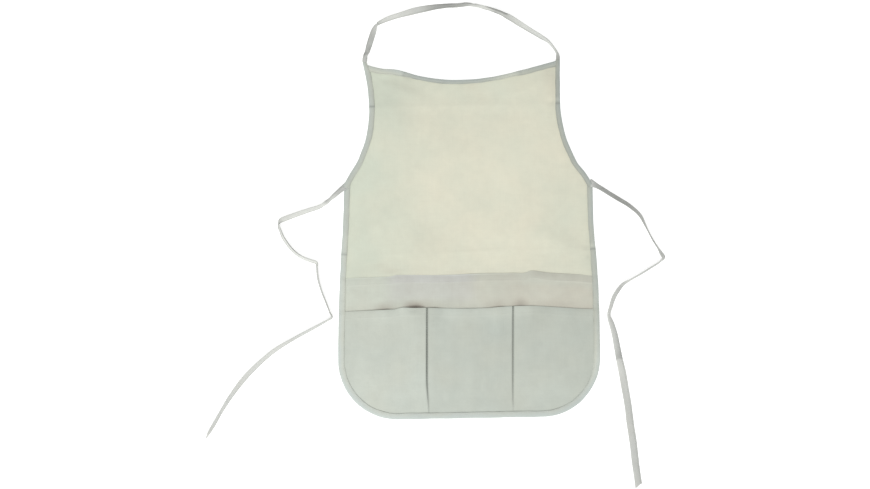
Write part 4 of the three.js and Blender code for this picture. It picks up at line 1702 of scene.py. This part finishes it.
    def pocket_grid(self, top: SmoothTable, seams: bool) -> tuple[Array, Array]:
        """Grid of a panel that runs from the hem up to a wavy top edge.

        Args:
            top: Height of the top edge.
            seams: Whether columns follow the divider seams, as on the front. If not, rows are close
                together behind the pocket mouth.

        Returns:
            x and y, a row for each height.
        """
        edge = self.outline
        deepest = self.hem_rows[-1]
        ends = {s: float(top(s.value * edge.skirt_half)) for s in Side}
        reach = ends[Side.LEFT] - deepest - edge.hem[Side.LEFT]
        shares = np.linspace(0.0, 1.0, round(reach / self.step))
        if not seams:
            mouth = (self.divider_top - edge.hem[Side.LEFT]) / reach
            dense = mouth + np.arange(*self.mouth_rows) / reach
            shares = np.concatenate([shares[shares < dense[0]], dense, shares[shares > dense[-1]]])
        shares = shares[:-1]
        levels = {}
        for side in Side:
            low = edge.hem[side] + self.tuck
            body = lerp(low, ends[side] - deepest, shares)
            levels[side] = np.concatenate([body, ends[side] - np.array(self.hem_rows[::-1])])[:, None]
        follow = smoothstep(shares, self.follow_from, 1.0)
        follow = np.concatenate([follow, np.ones(len(self.hem_rows))])[:, None]
        from_x = edge.side_x(Side.LEFT, levels[Side.LEFT], self.tuck)
        to_x = edge.side_x(Side.RIGHT, levels[Side.RIGHT], self.tuck)
        middle = (levels[Side.LEFT] + levels[Side.RIGHT]) / 2
        if seams:
            x = self.columns(from_x, to_x, middle)
        else:
            x = lerp(from_x, to_x, np.linspace(0.0, 1.0, self.backing_columns)[None, :])
        part = (x - from_x) / (to_x - from_x)
        chord = lerp(top(from_x), top(to_x), part)
        y = lerp(levels[Side.LEFT], levels[Side.RIGHT], part) + (top(x) - chord) * follow
        return x, y

    def columns(self, from_x: Array, to_x: Array, y: Array) -> Array:
        """Places across each row, close together beside the divider seams.

        Args:
            from_x: Left end of each row.
            to_x: Right end of each row.
            y: Height of each row.

        Returns:
            x, a row for each height.
        """
        first, second = (self.divider_x(d, y) for d in DIVIDERS)
        near = np.array(self.seam_columns)
        beside = np.concatenate([-near[:0:-1], near])[None, :]
        reach = near[-1]
        outer = np.linspace(0.0, 1.0, self.outer_columns)[None, :-1]
        inner = np.linspace(0.0, 1.0, self.inner_columns)[None, 1:-1]
        return np.concatenate([
            lerp(from_x, first - reach, outer),
            first + beside,
            lerp(first + reach, second - reach, inner),
            second + beside,
            lerp(to_x, second + reach, outer)[:, ::-1],
        ], axis=1)

    def divider_x(self, divider: Divider, y: Array) -> Array:
        """x of a divider seam at a height."""
        return lerp(divider.bottom, divider.top, smoothstep(y, self.divider_bottom, self.divider_bend))

    def beside_dividers(self, x: Array, y: Array) -> Array:
        """Distance to the nearest divider seam."""
        return np.minimum(*(np.abs(x - self.divider_x(d, y)) for d in DIVIDERS))

    def pocket_height(self, x: Array, y: Array, away: Array) -> Array:
        """How far the pocket front stands off its backing.

        Args:
            x: Places across.
            y: Places along.
            away: Distance to the edge of the apron.

        Returns:
            The height at each place, 0 where the front is sewn down.
        """
        mouth = self.mouth(x)
        down = np.clip((mouth - y) / (mouth - self.outline.hem[Side.LEFT]), 0.0, 1.0)
        wall = np.clip((self.beside_dividers(x, y) - self.seam_half) / self.seam_wall, 0.0, 1.0)
        open_by = np.maximum(self.ajar.over(x), 0.0) + sum(g.high * bell(x - g.x, g.half) for g in GAPES)
        high = open_by * (1.0 - down) ** 2 + self.bulge * 4.0 * down * (1.0 - down)
        return high * self.pocket_sides.over(away) * wall * (2.0 - wall)

    def shade(self, x: Array, y: Array) -> Array:
        """How far the cloth is darkened in its larger patches: an even tone, painted shade under the neckline and low
        on the left, and random clouds.

        Args:
            x: Places across.
            y: Places along.

        Returns:
            The tone at each place.
        """
        below = self.outline.neckline(x) - y
        corner = patchy([self.neck_shade], "dark", x, y) * self.neck_clear.over(below)
        return corner + summed(BODY_TONE_AND_SHADE, x, y) + summed(BODY_CLOUDS, x, y)

    def body(self) -> bpy.types.Object:
        """Builds the bib and skirt in one cloth.

        Returns:
            The body.
        """
        x, y = self.body_grid()
        away, along = self.outline.nearest(x, y)
        above = y - self.band(x)
        creases = self.crease_height(x, y)
        loose = self.puckers(away, along) + self.folds_in.over(away) * self.billow.over(x, y)
        loose += self.crease_high * creases + self.rumple.over(x, y)
        under = self.base(away) + self.soft_folds(x, y, away) + self.above_band.over(above) * loose
        tone = self.crease_dark * creases + self.shade(x, y) + summed(ABOVE_BAND_TONES, x, above)
        tone += sum(hump.over(away) * wash.over(x, y) for hump, wash in SEAM_SHADOWS)
        tone += patchy(BODY_LIGHT_AND_SHADE_PATCHES, "dark", x, y)
        tint = summed(BODY_TINTS, x, y) + patchy(BODY_LIGHT_AND_SHADE_PATCHES, "warm", x, y)
        thick = np.full_like(x, self.cloth)
        piece = sheet_piece("body_cloth", x, y, np.maximum(under, self.lowest), thick, tone, tint)
        return piece.make(MATERIALS["body"], "body_cloth", "body_panel")

    def rounded(self, below: Array) -> Array:
        """Share of the wall that is left close to a folded top edge."""
        return lerp(self.lip_wall, 1.0, np.sqrt(np.clip(below / self.lip_deep, 0.0, 1.0)))

    def backing_top(self, x: Array, y: Array) -> Array:
        """Height of the backing's front face near its top edge."""
        under = self.backing_under(x, y, *self.outline.nearest(x, y))
        return under + self.cloth + self.hem_thick * HEM.over(self.band(x) - y)

    def backing_under(self, x: Array, y: Array, away: Array, along: Array) -> Array:
        """Underside of the backing, rippled above the pockets.

        Args:
            x: Places across.
            y: Places along.
            away: Distance to the edge of the apron.
            along: Length along that edge.

        Returns:
            The height at each place.
        """
        ripple = self.band_fade.over(away) * summed(BAND_RIPPLES, x, y) + self.puckers(away, along)
        rise = lerp(self.edge_layer, self.layer, self.band_rise.over(self.band(x) - y))
        return self.base(away) + rise + self.band_shown.over(y - self.mouth(x)) * ripple

    def backing(self) -> bpy.types.Object:
        """Builds the cloth behind the pockets, with its turned top hem.

        Returns:
            The backing.
        """
        x, y = self.pocket_grid(self.band, seams=False)
        away, along = self.outline.nearest(x, y)
        below, inside = self.band(x) - y, y - self.mouth(x)
        # Painted shade: a line close under the mouth, a warm shadow above each gape and darkness inside it
        near = self.near_mouth.over(inside)
        halo = near * sum(g.halo * bell(x - g.x, self.halo_wide * g.half) for g in GAPES)
        tone = summed(BAND_TONES, x, below) + summed(BAND_CLOUDS, x, y) + halo + self.near_dark * near
        for gape in GAPES:
            reach = self.gape_reach + gape.high
            depth = Ramp(reach, self.gape_core * reach).over(inside)
            tone += gape.dark * bell(x - gape.x, gape.half) * depth
        tint = summed(BAND_TINTS, x, below) + self.halo_warm * halo
        thick = self.cloth + self.hem_thick * HEM.over(below)
        thick = thick * lerp(self.band_wall, 1.0, self.band_thin.over(below))
        under = self.backing_under(x, y, away, along)
        piece = sheet_piece("pocket_backing_cloth", x, y, under, thick, tone, tint)
        mauve = summed(BAND_MAUVES, x, below) * self.band_shown.over(inside)
        piece.held["mauve"] = np.tile(mauve.ravel(), 2)
        return piece.make(MATERIALS["backing"], "backing_cloth", "pocket_backing")

    def front_under(self, x: Array, y: Array, away: Array, along: Array) -> Array:
        """Underside of the pocket front.

        Args:
            x: Places across.
            y: Places along.
            away: Distance to the edge of the apron.
            along: Length along that edge.

        Returns:
            The height at each place.
        """
        high = self.pocket_height(x, y, away)
        loose = np.clip(high / self.loose_at, 0.0, 1.0)
        ripple = loose * summed(POCKET_RIPPLES, x, y) + (1.0 - loose) * self.puckers(away, along)
        return self.base(away) + 2 * self.layer + high + ripple

    def front_top(self, x: Array, y: Array) -> Array:
        """Height of the pocket front's face."""
        return self.front_under(x, y, *self.outline.nearest(x, y)) + self.cloth

    def front(self) -> bpy.types.Object:
        """Builds the pocket front in one cloth, sewn down at the dividers.

        Returns:
            The pocket front.
        """
        x, y = self.pocket_grid(self.mouth, seams=True)
        away, along = self.outline.nearest(x, y)
        below = self.mouth(x) - y
        gaps = [x - self.divider_x(d, y) for d in DIVIDERS]
        tone = summed(POCKET_TONES, x, below) + summed(POCKET_CLOUDS, x, y)
        tone += patchy(POCKET_LIGHT_AND_SHADE_PATCHES, "dark", x, y)
        tone += sum(d.step * self.seam_step.over(gap) for d, gap in zip(DIVIDERS, gaps))
        # Painted shade deep in each divider's groove, reaching the cloth's darkest colour at the seam
        for divider, gap in zip(DIVIDERS, gaps):
            dark = SmoothTable(DIVIDER_HEIGHTS, divider.dark)(y)
            tone = lerp(tone, 1.0, dark * bell(gap, np.where(gap < 0.0, *self.seam_dark)))
        thick = (self.cloth + self.mouth_hem * HEM.over(below)) * self.rounded(below)
        under = self.front_under(x, y, away, along)
        tint = self.pocket_tint.over(x, y)
        piece = sheet_piece("pocket_front_cloth", x, y, under, thick, tone, tint)
        return piece.make(MATERIALS["pocket"], "pocket_cloth", "pocket_panel")

    def hem_stitches(self) -> bpy.types.Object:
        """Sews the two turned hems.

        Returns:
            The stitches.
        """
        sewing = Stitching()
        x = np.linspace(-self.stitch_half, self.stitch_half, self.stitch_points)
        y = self.band(x) - self.stitch_up
        sewing.row(np.stack([x, y, self.backing_top(x, y)], axis=1), upward(len(x)))
        y = self.mouth(x) - self.stitch_up
        sewing.row(np.stack([x, y, self.front_top(x, y) + self.mouth_hem], axis=1), upward(len(x)))
        return sewing.make("hem_stitches", "backing_cloth", "pale_thread")

    def divider_stitches(self) -> bpy.types.Object:
        """Sews each divider with two rows.

        Returns:
            The stitches.
        """
        sewing = Stitching()
        y = np.linspace(self.divider_top, self.divider_bottom, self.stitch_points // 2)
        for divider in DIVIDERS:
            for offset in (-self.seam_row, self.seam_row):
                x = self.divider_x(divider, y) + offset
                lift = self.front_top(x, y) + self.thread_lift
                sewing.row(np.stack([x, y, lift], axis=1), upward(len(x)))
        return sewing.make("divider_stitches", "pocket_cloth")


@dataclass
class EdgeBinding:
    """Tape folded over the edge and sewn down along its inner edge."""

    name: str
    node: str
    line: Array
    high: Array
    wide: Array
    tone: Array
    wall: float = 0.0009
    fold: float = 0.0016
    sewn_in: float = 0.0018
    step: float = 0.0035
    puff: Relief = Relief(0.009, 40, 0.00018, 0.00022)
    waver: Relief = Relief(0.013, 50, 0.0004)
    roll: Relief = Relief(0.018, 60, 0.0003)
    # Painted shadow where the tape's inner edge steps down onto the cloth, broken up along its length
    broken: Relief = Relief(0.014, 90, 0.26, 0.12)
    groove_low: float = 0.00012
    groove_deep: float = 0.00030
    ridge: float = 0.00008
    seam_wide: float = 0.0010
    hem_tint: float = -0.4
    off_hem: Ramp = Ramp(-0.42, -0.25)
    inner_tint: float = 0.32
    inner: Ramp = Ramp(0.1, 0.9)
    thread_sink: float = 0.0002
    thread_low: float = 0.00028
    seed: int = 0

    def fitted(self, values: Array) -> Array:
        """Values along the given line, read at the evenly spaced stations."""
        along = run_lengths(self.line)
        return np.interp(np.linspace(0.0, along[-1], len(self.stations())), along, values)

    def stations(self) -> Array:
        """Evenly spaced points of the edge."""
        return spaced(self.line, self.step)

    def inward(self) -> Array:
        """Direction into the cloth at each station."""
        ahead = headings(self.stations())
        return np.stack([-ahead[:, 1], ahead[:, 0]], axis=1)

    def profile(self) -> tuple[Array, Array]:
        """Section of the tape at each station.

        Returns:
            Reach in from the edge and height, by station and point.
        """
        along = run_lengths(self.stations())
        zero = np.zeros_like(along)
        high = self.fitted(self.high)
        puff = self.puff.over(along, pick=self.seed)
        edge = self.fitted(self.wide) + self.waver.over(along, pick=self.seed)
        outer = self.roll.over(along, pick=self.seed)
        wall, groove = self.wall, edge - self.sewn_in
        reach, lift = [], []

        def add(r: Array | float, z: Array | float) -> None:
            """Adds one point of the section."""
            reach.append(r + zero)
            lift.append(z + zero)

        for angle in np.radians([90, 60, 30, 0, -30, -60, -90]):
            add(outer + self.fold * (1.0 - math.cos(angle)), high / 2 * (1.0 + math.sin(angle)))
        add(groove, self.groove_low)
        for back, up in LOWER_LIP:
            add(edge - back, up * wall)
        add(self.fold + wall, wall)
        add(self.fold + wall, high - wall)
        for back, down in UPPER_LIP:
            add(edge - back, high - down * wall)
        add((groove + edge) / 2, high + self.ridge)
        add(groove, high - self.groove_deep)
        for share, part in PUFFED:
            add(share * groove, high + part * puff)
        return np.stack(reach, axis=1), np.stack(lift, axis=1)

    def tint(self, at: Array) -> Array:
        """Warmer at the sides and in two stretches of the neckline, cooler at the hem."""
        return lerp(self.hem_tint, summed(EDGE_TINTS, *at.T), self.off_hem.over(at[:, 1]))[:, None]

    def build(self, sewn: Stitching) -> None:
        """Builds the tape and its stitches.

        Args:
            sewn: Stitching that takes the rows of this tape.
        """
        at, inward = self.stations(), self.inward()
        reach, lift = self.profile()
        flat = at[:, None, :] + inward[:, None, :] * reach[..., None]
        sections = np.concatenate([flat, lift[..., None]], axis=2)
        along = run_lengths(at)[:, None] + np.zeros_like(reach)
        wide = self.fitted(self.wide)
        # Painted shadow along the tape's inner lip, where it steps down onto the cloth
        broken = self.broken.over(run_lengths(at), pick=self.seed) + summed(EDGE_LIP_SHADE_TONES, *at.T)
        rim = bell(reach - wide[:, None], self.seam_wide)
        tone = self.fitted(self.tone)[:, None] + broken[:, None] * rim
        outer = summed(EDGE_RIM_TINTS, *at.T)[:, None]
        tint = self.tint(at) + lerp(outer, self.inner_tint, self.inner.over(reach / wide[:, None]))
        held = {"lay": np.stack([reach, along, lift], axis=2), "tone": tone, "tint": tint}
        loft_piece(self.name, sections, held).make(MATERIALS["edge"], "edge_tape", self.node)
        seam = at + inward * (wide - self.sewn_in)[:, None]
        heights = {
            Face.UPPER: self.fitted(self.high) - self.thread_sink,
            Face.LOWER: np.full(len(at), self.thread_low),
        }
        for face, height in heights.items():
            sewn.row(np.concatenate([seam, height[:, None]], axis=1), face.value * upward(len(at)))


@dataclass
class Bindings:
    """All the edge tape: skirt, both armholes and neckline."""

    outline: ApronOutline
    panels: Panels
    heights: tuple[float, float, float] = (0.0035, 0.0047, 0.0060)
    overlap: float = 0.0011
    top_lap: float = 0.003
    waist_lap: float = 0.005
    lap: Ramp = Ramp(0.026, 0.012)
    step_up: Ramp = Ramp(-0.004, 0.006)
    crease_high: float = 0.0006
    upper: Ramp = Ramp(0.20, 0.25)
    below_top: Ramp = Ramp(-0.002, 0.030)
    neck_part: tuple[int, int] = (2, -4)

    def crease_tone(self, line: Array) -> Array:
        """How a tape looks where packing creases cross it.

        Args:
            line: Edge that the tape is sewn to.

        Returns:
            The tone at each point: painted shade on a crease, and a painted highlight above it on the right.
        """
        x, y = line.T
        heights = [np.where(x < 0.0, c.left, c.right) for c in CREASES]
        return sum(summed(CREASE_SHADE_AND_HIGHLIGHT, x, y - height) for height in heights)

    def skirt(self) -> EdgeBinding:
        """Tape round the skirt, thicker where it takes in the pockets.

        Returns:
            The tape, not built yet.
        """
        line = spaced(self.outline.skirt_line(), self.outline.fine)
        x, y = line.T
        one, two, three = self.heights
        high = lerp(one, two, self.step_up.over(self.panels.band(x) - y))
        high = lerp(high, three, self.step_up.over(self.panels.mouth(x) - y))
        crease = self.crease_tone(line)
        high = high + self.crease_high * crease
        # Its tone is the creases' painted shade and highlight, with painted shade up the right side
        wide, tone = summed(SKIRT_WIDTHS, x, y), crease + summed(SKIRT_TONE_AND_SHADE, x, y)
        return EdgeBinding("skirt_edge_tape", "skirt_binding", line, high, wide, tone, seed=1)

    def lapped(self, side: Side) -> Array:
        """Edge of an armhole carried on past both its ends, where it laps over the next tape.

        Args:
            side: Which armhole.

        Returns:
            Points of the longer edge.
        """
        line = self.outline.armhole_line(side)
        laps = (self.top_lap, self.waist_lap) if side is Side.LEFT else (self.waist_lap, self.top_lap)
        first, last = line[0] - line[1], line[-1] - line[-2]
        before = line[0] + first / np.linalg.norm(first) * laps[0]
        after = line[-1] + last / np.linalg.norm(last) * laps[1]
        return spaced(np.concatenate([before[None], line, after[None]]), self.outline.fine)

    def armhole(self, side: Side) -> EdgeBinding:
        """Tape of one armhole, lapped over the neckline tape and the skirt tape.

        Args:
            side: Which armhole.

        Returns:
            The tape, not built yet.
        """
        line, look, word = self.lapped(side), ARMHOLE_TAPES[side], side.name.lower()
        along = run_lengths(line)
        ends = np.minimum(along, along[-1] - along)
        crease = self.crease_tone(line)
        high = self.heights[0] + self.overlap * self.lap.over(ends) + self.crease_high * crease
        upper = self.upper.over(line[:, 1])
        # Painted shade, heavier on the right armhole, over the creases' painted shade and highlight
        tone = crease + lerp(*look.dark, upper)
        grown = self.below_top.over(self.outline.top[side] - line[:, 1])
        wide = lerp(look.end, lerp(*look.wide, upper), grown)
        name, node = f"armhole_edge_tape_{word}", f"armhole_binding_{word}"
        return EdgeBinding(name, node, line, high, wide, tone, seed=2 + side.value)

    def neck(self) -> EdgeBinding:
        """Tape of the neckline, whose ends go under the armhole tapes.

        Returns:
            The tape, not built yet.
        """
        line = spaced(self.outline.neck_line(), self.outline.fine)[slice(*self.neck_part)]
        high = np.full(len(line), self.heights[0])
        wide, tone = summed(NECK_WIDTHS, *line.T), summed(NECK_TONE_AND_SHADE, *line.T)
        return EdgeBinding("neckline_edge_tape", "neckline_binding", line, high, wide, tone, seed=5)

    def build(self) -> None:
        """Builds every tape and one piece with all their stitches."""
        sewn = Stitching()
        for tape in (self.neck(), self.skirt(), self.armhole(Side.LEFT), self.armhole(Side.RIGHT)):
            tape.build(sewn)
        sewn.make("edge_tape_stitches", "edge_tape")


@dataclass
class Tape:
    """A narrow tape folded in two and sewn, lying along a route with its own rolls."""

    name: str
    node: str
    route: Sequence[RoutePoint]
    width: float = 0.0146
    thick: float = 0.0013
    step: float = 0.003
    start_high: float = 0.0022
    settle: float = 0.020
    shares: tuple[float, ...] = (-1.0, -0.965, -0.8, -0.4, 0.0, 0.4, 0.64, 0.8, 0.965, 1.0)
    walls: tuple[float, ...] = (0.25, 0.8, 1.0, 1.0, 1.0, 1.0, 0.6, 1.0, 0.8, 0.25)
    seam_point: int = 6
    seam_dark: float = 0.15
    seam_wide: float = 0.0008
    thread_lift: float = 0.0001
    rim: Ramp = Ramp(0.1, 0.8)
    slack: Relief = Relief(0.045, 70, 0.35, 0.42)
    narrow: Relief = Relief(0.02, 80, 0.03, 0.03)
    twist_curl: float = 2.7
    least_curl: float = 0.05
    edge_share: float = 0.30
    clear: float = 0.00005
    cut: float = 0.0
    pinch: float = 0.0
    pinch_to: float = 0.25
    fine_points: int = 2000
    seed: int = 0
    held_both_ends: bool = False

    def middle(self) -> tuple[Array, dict[str, Array]]:
        """Line of the tape on the surface.

        Returns:
            Points in plan, and the other columns of the route at each of them.
        """
        plan = np.array([(p.x, p.y) for p in self.route])
        places = run_lengths(plan)
        fine = np.linspace(0.0, places[-1], self.fine_points)
        line = np.stack([SmoothTable(places, column)(fine) for column in plan.T], axis=1)
        even = spaced(line, self.step)
        along = run_lengths(line)
        stations = np.interp(np.linspace(0.0, along[-1], len(even)), along, fine)
        columns = {}
        for name in RoutePoint._fields[2:]:
            columns[name] = np.interp(stations, places, [getattr(p, name) for p in self.route])
        return even, columns

    def section(self, along: Array, roll: Array, arch: Array) -> tuple[Array, Array]:
        """Section of the tape at each station, curled in its twists.

        Args:
            along: Length to each station.
            roll: Roll at each station in radians.
            arch: Curl at each station in radians, with the middle of the tape highest.

        Returns:
            Place across the tape and height from its middle, by station and point.
        """
        shares, walls = np.array(self.shares), np.array(self.walls)
        across = np.concatenate([shares, shares[::-1]])
        height = np.concatenate([walls, -walls[::-1]]) * self.thick / 2
        on_edge = 1.0 - smoothstep(np.abs(np.cos(roll)), 0.0, self.edge_share)
        curl = self.slack.over(along, pick=self.seed) + self.twist_curl * on_edge
        curl = curl + arch * np.sign(np.cos(roll))
        curl = np.where(np.abs(curl) < self.least_curl, self.least_curl, curl)
        wide = self.width * (1.0 - self.narrow.over(along, pick=self.seed))
        if self.pinch:
            wide = wide * lerp(1.0, self.pinch_to, smoothstep(along[-1] - along, self.pinch, 0.0))
        radius = (wide / curl)[:, None]
        bend = across[None, :] * curl[:, None] / 2
        middle = radius * (1.0 + np.cos(curl / 2))[:, None] / 2
        return (radius + height) * np.sin(bend), (radius + height) * np.cos(bend) - middle

    def build(self) -> tuple[bpy.types.Object, bpy.types.Object, Array]:
        """Builds the tape and its stitches.

        Returns:
            The tape, its stitches and its middle line.
        """
        plan, route = self.middle()
        roll, rim = np.radians(route["roll"]), route["rim"][:, None]
        along = run_lengths(plan)
        ahead = headings(plan)
        beside = np.column_stack([-ahead[:, 1], ahead[:, 0], 0.0 * roll])
        rise = upward(len(roll))
        across = beside * np.cos(roll)[:, None] + rise * np.sin(roll)[:, None]
        out = rise * np.cos(roll)[:, None] - beside * np.sin(roll)[:, None]
        a, b = self.section(along, roll, route["curl"])
        offset = across[:, None, :] * a[..., None] + out[:, None, :] * b[..., None]
        rest = self.clear - offset[..., 2].min(axis=1)
        ends = along if not self.held_both_ends else np.minimum(along, along[-1] - along)
        rest = np.maximum(rest, self.start_high * (1.0 - smoothstep(ends, 0.0, self.settle)))
        line = np.column_stack([plan, rest])
        sections = line[:, None, :] + offset
        if self.cut:
            slant = np.zeros_like(along)
            slant[-1] = self.cut
            sections += np.column_stack([ahead, 0.0 * roll])[:, None, :] * (slant[:, None] * a)[..., None]
        lay = np.stack([a, along[:, None] + 0.0 * a, b], axis=2)
        # Painted light and shade from the route's tone column, and painted shade along one rim of the tape
        side = np.sign(rim) * 2.0 * a / self.width
        tone = route["tone"][:, None] + np.abs(rim) * self.rim.over(side)
        tone += self.seam_dark * bell(a - self.shares[self.seam_point] * self.width / 2, self.seam_wide)
        held = {"lay": lay, "tone": tone, "tint": 0.0 * tone}
        made = loft_piece(self.name, sections, held).make(MATERIALS["strap"], "strap_tape", self.node)
        sewn = Stitching()
        points = {Face.UPPER: self.seam_point, Face.LOWER: -1 - self.seam_point}
        for face, point in points.items():
            sewn.row(sections[:, point] + out * (face.value * self.thread_lift), out * face.value)
        stitches = sewn.make(f"{self.name}_stitches", "strap_tape")
        return made, stitches, line


@dataclass
class Straps:
    """The neck strap and the two waist ties."""

    width: float = 0.014

    def tie(self, tape: Tape) -> None:
        """Args:
            tape: The tie.
        """
        made, stitches, line = tape.build()
        length = float(run_lengths(line)[-1])
        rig.cord(
            made,
            exit=line[0],
            length=round(length, 3),
            diameter=self.width,
            far_end="bare",
            stiffness="limp",
            lay="loose",
            path=line,
            with_pieces=[stitches],
        )
        LOG.info("%s is %.0f mm long", tape.name, 1000 * length)

    def build(self) -> None:
        """Builds the ties first, then the strap, which is held at both ends."""
        self.tie(Tape("waist_tie_left_tape", "waist_tie_left", TIE_LEFT_ROUTE, pinch=0.016, seed=1))
        self.tie(Tape(
            "waist_tie_right_tape", "waist_tie_right", TIE_RIGHT_ROUTE, width=0.0163, cut=-0.7, seed=2
        ))
        Tape("neck_strap_tape", "neck_strap", STRAP_ROUTE, held_both_ends=True, seed=3).build()


@dataclass
class Studio:
    """Camera straight above the apron, pale floor and soft light."""

    pixel: float = 0.00214
    image_wide: int = 870
    middle: tuple[float, float] = (-0.0728, -0.0722)
    lens: float = 50.0
    sensor: float = 36.0
    floor_half: float = 6.0
    floor_drop: float = 0.0003
    floor_albedo: float = 0.82
    floor_rough: float = 0.9
    floor_glow: float = 0.50
    world_level: float = 0.72
    key_watts: float = 64.0
    key_from: tuple[float, float, float] = (-0.95, -2.10, 2.10)
    key_size: float = 1.6

    def camera(self) -> None:
        """Sets up the camera at the photograph's angle."""
        data = bpy.data.cameras.new("camera")
        data.lens, data.sensor_width = self.lens, self.sensor
        data.dof.use_dof = False
        made = linked("camera", data)
        made.location = (*self.middle, self.pixel * self.image_wide * self.lens / self.sensor)
        bpy.context.scene.camera = made

    def floor(self) -> None:
        """Lays the pale floor under the apron."""
        half, low = self.floor_half, -self.floor_drop
        corners = [(-half, -half, low), (half, -half, low), (half, half, low), (-half, half, low)]
        mesh = bpy.data.meshes.new("floor")
        mesh.from_pydata(corners, [], [(0, 1, 2, 3)])
        tree = FinishTree("pale_floor")
        shader = tree.node("ShaderNodeBsdfPrincipled", None, {
            "Base Color": (*(self.floor_albedo,) * 3, 1.0),
            "Roughness": self.floor_rough,
            "Specular IOR Level": 0.0,
            "Emission Color": WHITE,
            "Emission Strength": self.floor_glow,
        })
        mesh.materials.append(tree.close(shader))
        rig.stage(linked("floor", mesh))

    def lights(self) -> None:
        """Hangs the soft key light and sets the even light all round."""
        world = bpy.data.worlds.new("soft_room")
        world.use_nodes = True
        back = world.node_tree.nodes["Background"]
        back.inputs["Color"].default_value = WHITE
        back.inputs["Strength"].default_value = self.world_level
        bpy.context.scene.world = world
        data = bpy.data.lights.new("key", "AREA")
        data.energy, data.size = self.key_watts, self.key_size
        made = linked("key", data)
        made.location = self.key_from
        made.rotation_euler = (-made.location).to_track_quat("-Z", "Y").to_euler()

    def build(self) -> None:
        """Sets up the whole studio."""
        self.camera()
        self.floor()
        self.lights()
        bpy.context.scene.view_settings.view_transform = "Standard"


def main() -> None:
    logging.basicConfig(level=logging.INFO, format="%(message)s")
    Studio().build()
    MATERIALS.update(
        body=BODY_CLOTH.material(),
        backing=BACKING_CLOTH.material(),
        pocket=POCKET_CLOTH.material(),
        edge=EDGE_TAPE.material(),
        strap=STRAP_TAPE.material(),
        thread=THREAD.material(),
        pale_thread=PALE_THREAD.material(),
    )
    Straps().build()
    outline = ApronOutline()
    panels = Panels(outline)
    body, backing, front = panels.body(), panels.backing(), panels.front()
    hems, dividers = panels.hem_stitches(), panels.divider_stitches()
    Bindings(outline, panels).build()
    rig.sheet(body, flat=(0.560, 0.770), held="laid", rests_on=["floor"], area=0.371)
    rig.sheet(
        backing, flat=(0.560, 0.320), held="laid", rests_on=[body.name], area=0.163, with_pieces=[hems]
    )
    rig.sheet(
        front, flat=(0.570, 0.245), held="laid", rests_on=[backing.name], area=0.128, with_pieces=[dividers]
    )
    shown = [n for n, o in frame["nodes"].items() if not o.hide_render]
    LOG.info("solids still shown: %s", shown or "none")
    sizes = {"cad": [list(c) for c in CAD_BOX], "visual": [list(c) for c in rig.bounds()]}
    with open(SIZE_FILE, "w") as out:
        json.dump(sizes, out)


if __name__ == "__main__":
    main()
